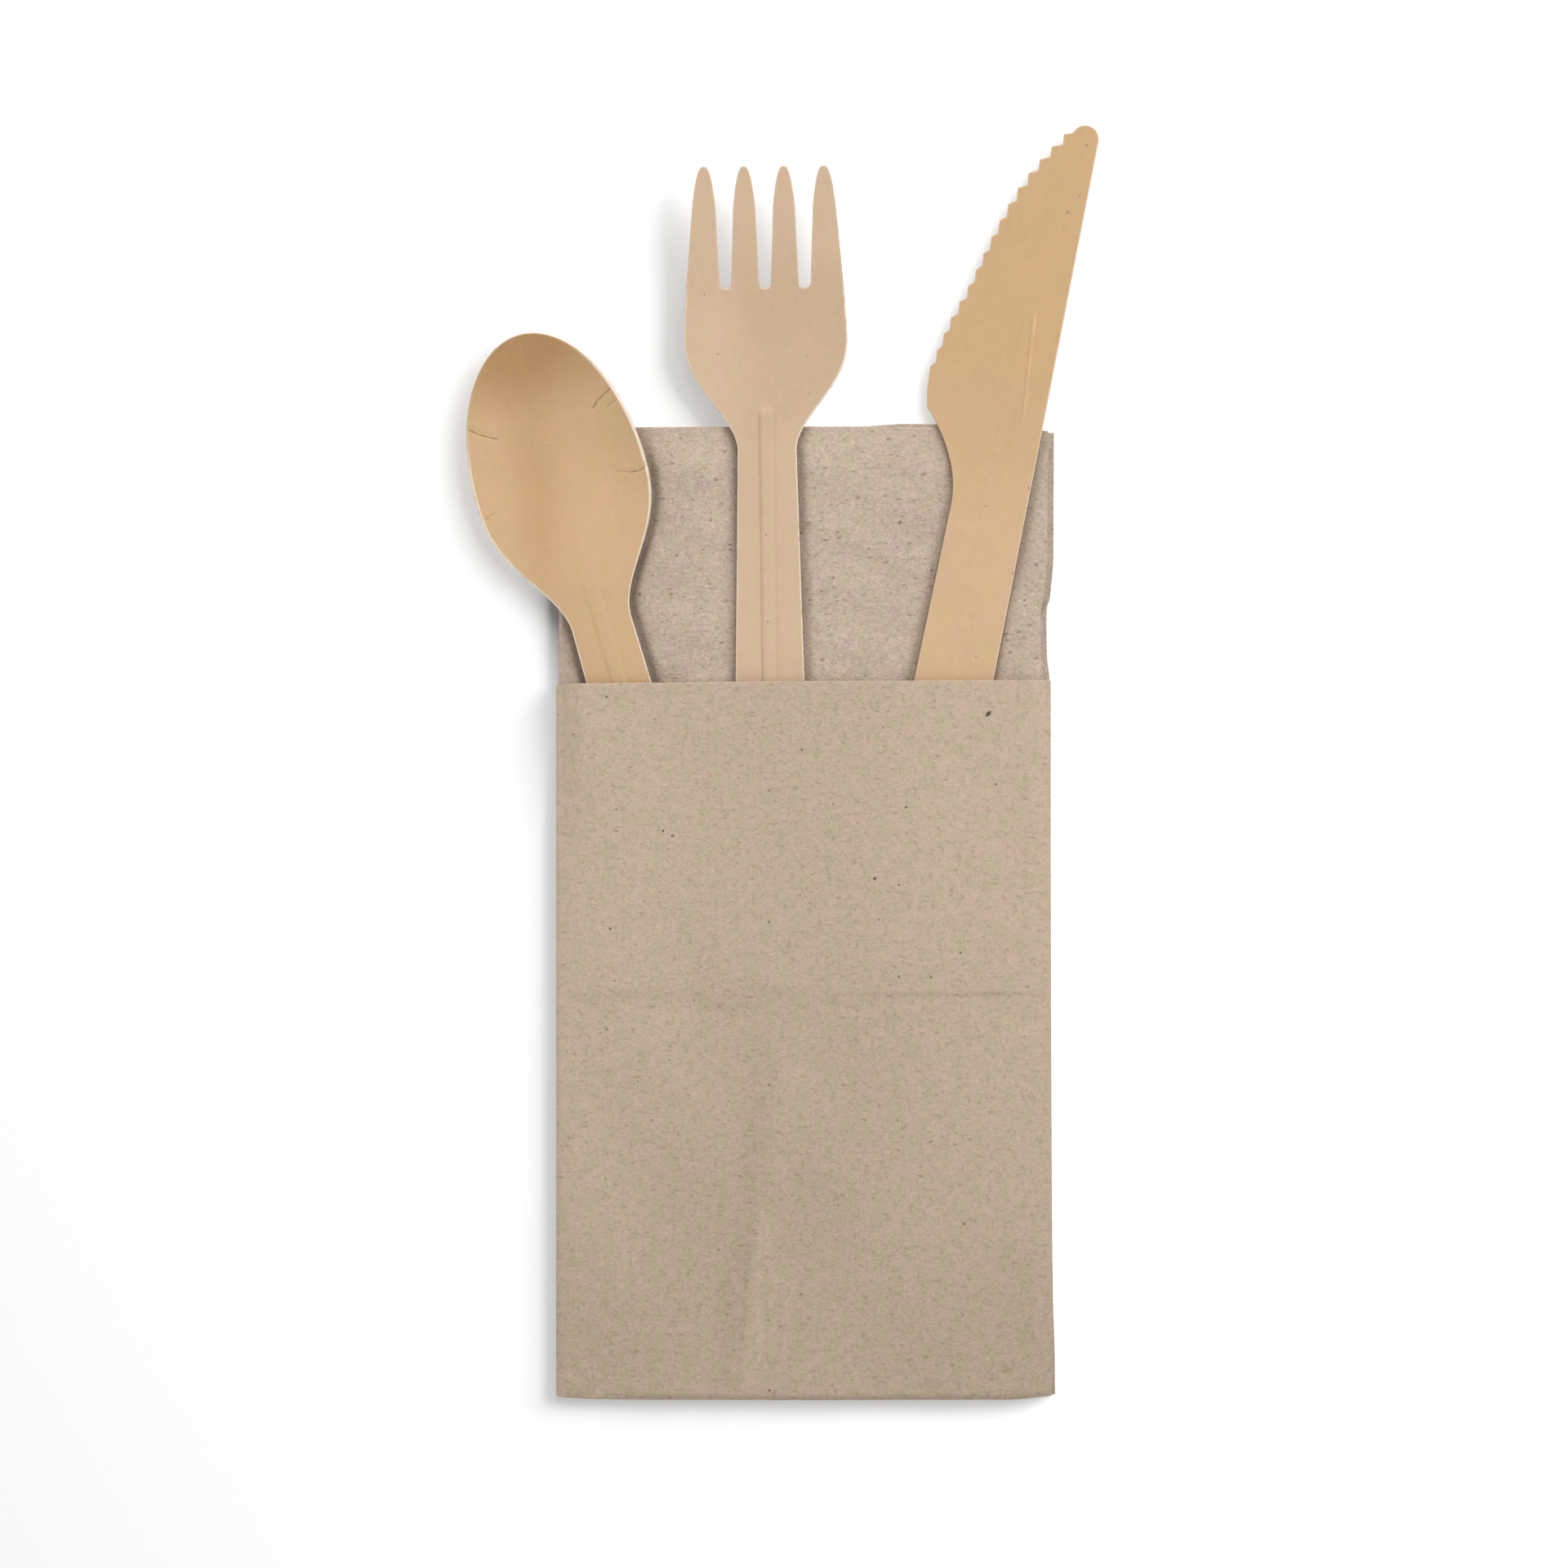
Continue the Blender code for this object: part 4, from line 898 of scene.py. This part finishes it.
tissue = {
    # Specks in the pocket's front: to the right of the middle and up, length, width, turn in
    # degrees, strength
    "pocketSpecks": (
        (36.61, 39.79, 1.9, 1.15, 48.0, 1.0), (13.88, 6.94, 0.95, 0.85, 40.0, 0.95),
        (20.1, 21.16, 0.9, 0.6, 60.0, 0.85), (-28.45, 16.75, 0.75, 0.6, 70.0, 0.9),
        (-39.08, -2.87, 0.75, 0.65, 90.0, 0.8), (38.08, 25.74, 0.65, 0.55, 0.0, 0.7),
        (31.05, -7.94, 0.75, 0.55, 120.0, 0.75), (-37.77, 21.16, 0.65, 0.5, 0.0, 0.6),
        (-37.77, 16.75, 0.75, 0.45, 10.0, 0.6), (-10.14, 36.03, 0.9, 0.4, 110.0, 0.6),
        (-22.73, 23.12, 0.8, 0.5, 60.0, 0.35), (15.52, 37.18, 0.7, 0.45, 90.0, 0.5),
        (14.7, -1.24, 0.6, 0.5, 0.0, 0.6), (-20.93, -10.55, 0.6, 0.4, 0.0, 0.5),
        (-38.1, -13.33, 0.6, 0.4, 0.0, 0.5), (-25.35, -24.28, 0.6, 0.4, 0.0, 0.5),
        (-40.88, -23.79, 0.6, 0.4, 0.0, 0.5), (-30.58, -41.28, 0.7, 0.5, 0.0, 0.6),
        (-17.34, -67.44, 0.7, 0.5, 0.0, 0.7)),
    # Loose fibres on the front of the pocket: points in millimetres, with their strength
    "fibres": ((0.9, ((19.9, 23.6), (20.4, 24.7), (21.4, 25.0), (22.1, 24.7))),
               (0.6, ((-12.1, 12.1), (-11.2, 12.5), (-10.4, 12.2))),
               (0.5, ((29.0, -31.2), (29.9, -30.6), (30.9, -30.8)))),
    # Painted shade and light of the front's creases, as lines like those: narrow dark ones, broad dark ones,
    # a light one beside the long fold, and broad light ones
    "creases": ((0.6, ((9.0, -17.4), (26.0, -16.6), (42.0, -16.2))),
                (0.25, ((-20.0, -16.2), (8.0, -17.2))),
                (1.0, ((-10.8, -60.0), (-12.0, -76.0), (-13.9, -96.0)))),
    "broadCreaseShade": ((0.9, ((-47.0, -18.2), (-24.0, -17.4), (0.0, -16.8))),
                     (0.9, ((-7.0, -24.0), (-12.0, -60.0), (-17.0, -95.0)))),
    "paintedFoldLight": ((1.0, ((-7.6, -58.0), (-9.2, -76.0), (-11.2, -96.0))),
                  (0.6, ((39.0, -23.0), (45.0, -19.0), (49.0, -19.5)))),
    "paintedCreaseLight": ((1.0, ((-1.5, -26.0), (-5.0, -60.0), (-9.0, -95.0))),
                     (0.6, ((-46.0, -23.5), (-10.0, -22.0)))),
}


def tissueFinish():
    t = Finish(bpy.data.materials.new("napkin_tissue"))
    place = t.flatPlace()
    down = t.node("ShaderNodeSeparateXYZ", None, {"Vector": place}, "Y")
    across = t.node("ShaderNodeSeparateXYZ", None, {"Vector": place}, "X")
    back = t.between(down, 60.0, 52.0)                     # the part of the back that shows
    # low darkens the front towards its bottom as painted shade, where the light falls off; sides lightens the
    # front's sides high up and darkens them low down
    low = t.between(down, 320.0, 200.0) * t.between(down, 192.0, 197.0)
    sides = t.between(t.maths("ABSOLUTE", across - 147.0), 8.0, 34.0) * (
        1.6 * t.between(down, 202.0, 240.0) - 0.6)
    tint = t.noise(place, 3.2, 3.0, 0.6)
    rosy = t.between(t.noise(place, 1.5, 2.0, 0.6), 0.56, 0.70)
    patch = t.noise(place, 2.6, 3.0, 0.6)
    bumps = t.noise(t.flatPlace(1.0, 1.25), 0.85, 2.0, 0.6)
    grain = t.noise(place, 0.26, 1.0, 0.6)
    lying = t.threads(t.flatPlace(0.8, 1.5), 1.15, 0.055)
    leaning = t.threads(t.flatPlace(0.8, 1.6, 1.35), 1.2, 0.05)
    flecks = t.specks(t.flatPlace(0.7, 1.5, 0.2), 1.9, 0.46, 5.0)
    pale = t.specks(t.flatPlace(0.8, 1.6, -0.3), 1.7, 0.45, 6.0)
    dots = 0.6 * t.specks(place, 6.5, 0.42, 8.0)

    def onFront(lines):
        return [(strength, [(150.0 + x, 292.5 + y) for x, y in line]) for strength, line in lines]

    for x, y, length, width, turn, strength in tissue["pocketSpecks"]:
        dots = t.maths("MAXIMUM", dots, strength * t.spot(
            place, 150.0 + x, 292.5 + y, length, width, math.radians(turn)))
    fibres = t.strokes(place, onFront(tissue["fibres"]), 0.34)
    creases = t.strokes(place, onFront(tissue["creases"]), 1.6)
    broadShade = t.strokes(place, onFront(tissue["broadCreaseShade"]), 9.0)
    light = t.strokes(place, onFront(tissue["paintedCreaseLight"]), 9.0)
    beside = t.strokes(place, onFront(tissue["paintedFoldLight"]), 4.5)
    rough = 1.0 + 0.8 * back
    shade = 0.965 + 0.03 * back + rough * (0.13 * (patch - 0.5) + 0.26 * (bumps - 0.5) + 0.20 * (grain - 0.5))
    shade = shade - 0.11 * low + 0.05 * sides + rough * 0.10 * pale
    # Painted shade in the creases and painted light beside them
    shade = shade - 0.055 * creases - 0.04 * broadShade + 0.045 * beside + 0.02 * light - 0.35 * fibres
    # Painted contact shade beside the cutlery, and the specks
    shade = shade * (1.0 - 0.26 * t.mark("paintedContactShade")) * (1.0 - 0.86 * dots)
    hue = t.between(tint, 0.36, 0.64)
    colour = t.mixed(back, t.mixed(hue, paint(203, 179, 160), paint(196, 179, 152)),
                     t.mixed(hue, paint(204, 182, 167), paint(199, 182, 160)))
    colour = t.mixed(0.5 * rosy, colour, paint(212, 182, 159))
    strokes = 0.22 * lying + 0.18 * leaning + 0.28 * rough * flecks
    colour = t.mixed(strokes, colour, paint(132, 104, 80))
    height = (0.05 * mm) * patch + rough * ((0.07 * mm) * bumps + (0.025 * mm) * grain)
    height = height - (0.03 * mm) * lying - (0.03 * mm) * leaning + (0.03 * mm) * pale
    return t.surface(t.shaded(colour, shade), 0.92, height, {})


def boardFinish(name, face, paintedShadeAndTone, specks, folds=(), pale=()):
    # face is the board's colour and the second colour its painted shade and darker tone, both as a picture
    # gives them;
    # specks, folds darkened by painted shade and pale lines lightened by a painted highlight are in
    # millimetres to the right and behind the tip
    b = Finish(bpy.data.materials.new(name))
    place = b.flatPlace()
    red, green, blue = face
    hue = b.between(b.noise(place, 5.5, 2.0, 0.55), 0.34, 0.66)
    cloud = b.noise(place, 9.0, 2.0)
    patch = b.noise(place, 1.7, 2.0, 0.6)
    grain = b.noise(place, 0.28, 2.0, 0.6)
    dots = b.specks(place, 9.0, 0.28, 6.0)
    for x, s, length, width, turn in specks:
        dots = b.maths("MAXIMUM", dots, b.spot(place, x, s, length, width, math.radians(turn)))
    streak = b.noise(b.flatPlace(1.0, 0.3), 1.1, 2.0, 0.6)
    shade = 1.0 + 0.08 * (cloud - 0.5) + 0.08 * (patch - 0.5) + 0.07 * (grain - 0.5)
    shade = shade + 0.06 * (streak - 0.5) - 0.45 * dots
    colour = b.mixed(hue, paint(red + 2, green - 1, blue + 2), paint(red - 1, green + 1, blue - 3))
    # Painted shade and a darker tone, where the mark says
    colour = b.mixed(b.mark("paintedShadeAndTone"), colour, paint(*paintedShadeAndTone))
    height = (0.010 * mm) * grain + (0.02 * mm) * patch
    # The folds get painted shade in their creases, the pale lines a painted highlight
    if folds:
        dark = b.strokes(place, folds, 0.42)
        shade = shade - 0.42 * dark
        height = height - (0.10 * mm) * dark
    if pale:
        shade = shade + 0.19 * b.strokes(place, pale, 0.75)
    colour = b.shaded(colour, shade)
    cut = b.mark("cutEdge") * b.between(b.noise(place, 2.5, 2.0), 0.15, 0.45)
    colour = b.mixed(cut, colour, paint(243, 229, 207))
    return b.surface(colour, 0.70, height, {})


forkPiece = makeFork(boardFinish("fork_board", (214, 185, 154), (206, 175, 144), (
    (-12.15, 25.13, 0.7, 0.4, 60.0), (8.68, 45.25, 1.3, 0.25, 90.0), (-9.6, 37.2, 0.6, 0.4, 0.0))))
print("fork made")
# The spoon's wrinkles get painted shade in their creases
spoonPiece = makeSpoon(boardFinish("spoon_board", (212, 177, 136), (185, 144, 97),
                                   ((-16.5, 37.19, 0.5, 0.6, 0.0),), spoon["wrinkles"]))
print("spoon made")
# Along the knife's rib run a dark line of painted shade and pale ones of painted highlight
knifePiece = makeKnife(boardFinish("knife_board", (216, 181, 142), (208, 171, 125), (
    (-2.17, 3.95, 0.8, 0.55, 80.0), (-1.7, 14.03, 0.6, 0.4, 60.0),
    (-3.45, 17.88, 0.9, 0.5, 120.0), (-8.22, 78.83, 0.6, 0.4, 0.0), (-4.38, 108.76, 0.6, 0.4, 0.0)),
    ((0.22, ((-6.4, 39.6), (-6.0, 45.2), (-5.2, 53.0), (-4.6, 60.0))),),
    ((1.0, ((-5.8, 38.6), (-5.5, 44.0))), (0.8, ((-5.5, 44.0), (-4.7, 52.0))),
     (0.5, ((-4.7, 52.0), (-4.0, 61.0))))))
print("knife made")
napkinPiece = makeNapkin(tissueFinish())
print("napkin made")


# Studio

studio = {
    "centre": (-0.00426, 0.0259), "height": 0.8765, "lens": 100.0, "sensor": 36.0,
    "floorHalf": 3.0, "floorShade": 0.333, "floorGlow": 0.03,
    "sky": 0.64,
    "topPlace": (0.35, 1.50, 1.35), "topSize": 1.6, "topPower": 22.0,
    # Two lamps light the floor alone and give the soft shadows to the left and below: a low
    # one those of the napkin and fork, a high one those of the spoon and knife
    "lowPlace": (1.27, 0.68, 0.80), "lowSize": 1.0, "lowPower": 81.0,
    "highPlace": (0.78, 0.44, 1.33), "highSize": 1.1, "highPower": 37.0,
}


def seenRays(finish):
    # 1 for rays that show the background as it is: straight, mirrored or through glass
    rays = [finish.node("ShaderNodeLightPath", output=kind)
            for kind in ("Is Camera Ray", "Is Glossy Ray", "Is Transmission Ray")]
    return finish.maths("MAXIMUM", rays[0], finish.maths("MAXIMUM", rays[1], rays[2]))


def makeFloor():
    half = studio["floorHalf"]
    mesh = bpy.data.meshes.new("floor")
    mesh.from_pydata([(-half, -half, 0.0), (half, -half, 0.0), (half, half, 0.0),
                      (-half, half, 0.0)], [], [(0, 1, 2, 3)])
    floor = bpy.data.objects.new("floor", mesh)
    bpy.context.scene.collection.objects.link(floor)
    f = Finish(bpy.data.materials.new("floor"))
    shade = studio["floorShade"]
    matt = f.node("ShaderNodeBsdfDiffuse", None, {"Color": (shade, shade, shade, 1.0)})
    glow = f.node("ShaderNodeEmission", None, {"Strength": studio["floorGlow"] * seenRays(f)})
    near = f.node("ShaderNodeAddShader", None, {0: matt, 1: glow})
    # Far from the object, out of the lamps' reach, the floor is as white as the sky
    away = f.node("ShaderNodeVectorMath", {"operation": "LENGTH"}, {
        "Vector": f.node("ShaderNodeTexCoord", output="Object")}, "Value")
    white = f.node("ShaderNodeEmission", None, {"Strength": seenRays(f)})
    every = f.node("ShaderNodeMixShader", None, {0: f.between(away, 0.4, 1.0), 1: near, 2: white})
    f.node("ShaderNodeOutputMaterial", None, {"Surface": every})
    mesh.materials.append(f.holder)
    return floor


def makeSky():
    world = bpy.data.worlds.new("studio")
    bpy.context.scene.world = world
    w = Finish(world)
    strength = studio["sky"] + (1.0 - studio["sky"]) * seenRays(w)
    light = w.node("ShaderNodeBackground", None, {"Color": (1.0, 1.0, 1.0, 1.0),
                                                  "Strength": strength})
    w.node("ShaderNodeOutputWorld", None, {"Surface": light})


def makeLamp(name, place, size, power):
    lamp = bpy.data.lights.new(name, "AREA")
    lamp.size, lamp.energy = size, power
    made = bpy.data.objects.new(name, lamp)
    made.location = place
    made.rotation_mode = "QUATERNION"
    made.rotation_quaternion = made.location.to_track_quat("Z", "Y")
    bpy.context.scene.collection.objects.link(made)
    return made


def makeCamera():
    lens = bpy.data.cameras.new("camera")
    lens.lens, lens.sensor_width = studio["lens"], studio["sensor"]
    camera = bpy.data.objects.new("camera", lens)
    camera.location = (*studio["centre"], studio["height"])
    bpy.context.scene.collection.objects.link(camera)
    bpy.context.scene.camera = camera


floor = makeFloor()
makeSky()
makeLamp("top", studio["topPlace"], studio["topSize"], studio["topPower"])
for name, blockers in (("low", [napkinPiece, forkPiece]), ("high", [spoonPiece, knifePiece])):
    links = makeLamp(name, studio[name + "Place"], studio[name + "Size"],
                     studio[name + "Power"]).light_linking
    links.receiver_collection = bpy.data.collections.new(name + " lights")
    links.receiver_collection.objects.link(floor)
    links.blocker_collection = bpy.data.collections.new(name + " shadows")
    for piece in blockers:
        links.blocker_collection.objects.link(piece)
makeCamera()
bpy.context.scene.view_settings.view_transform = "Standard"
print("studio made")
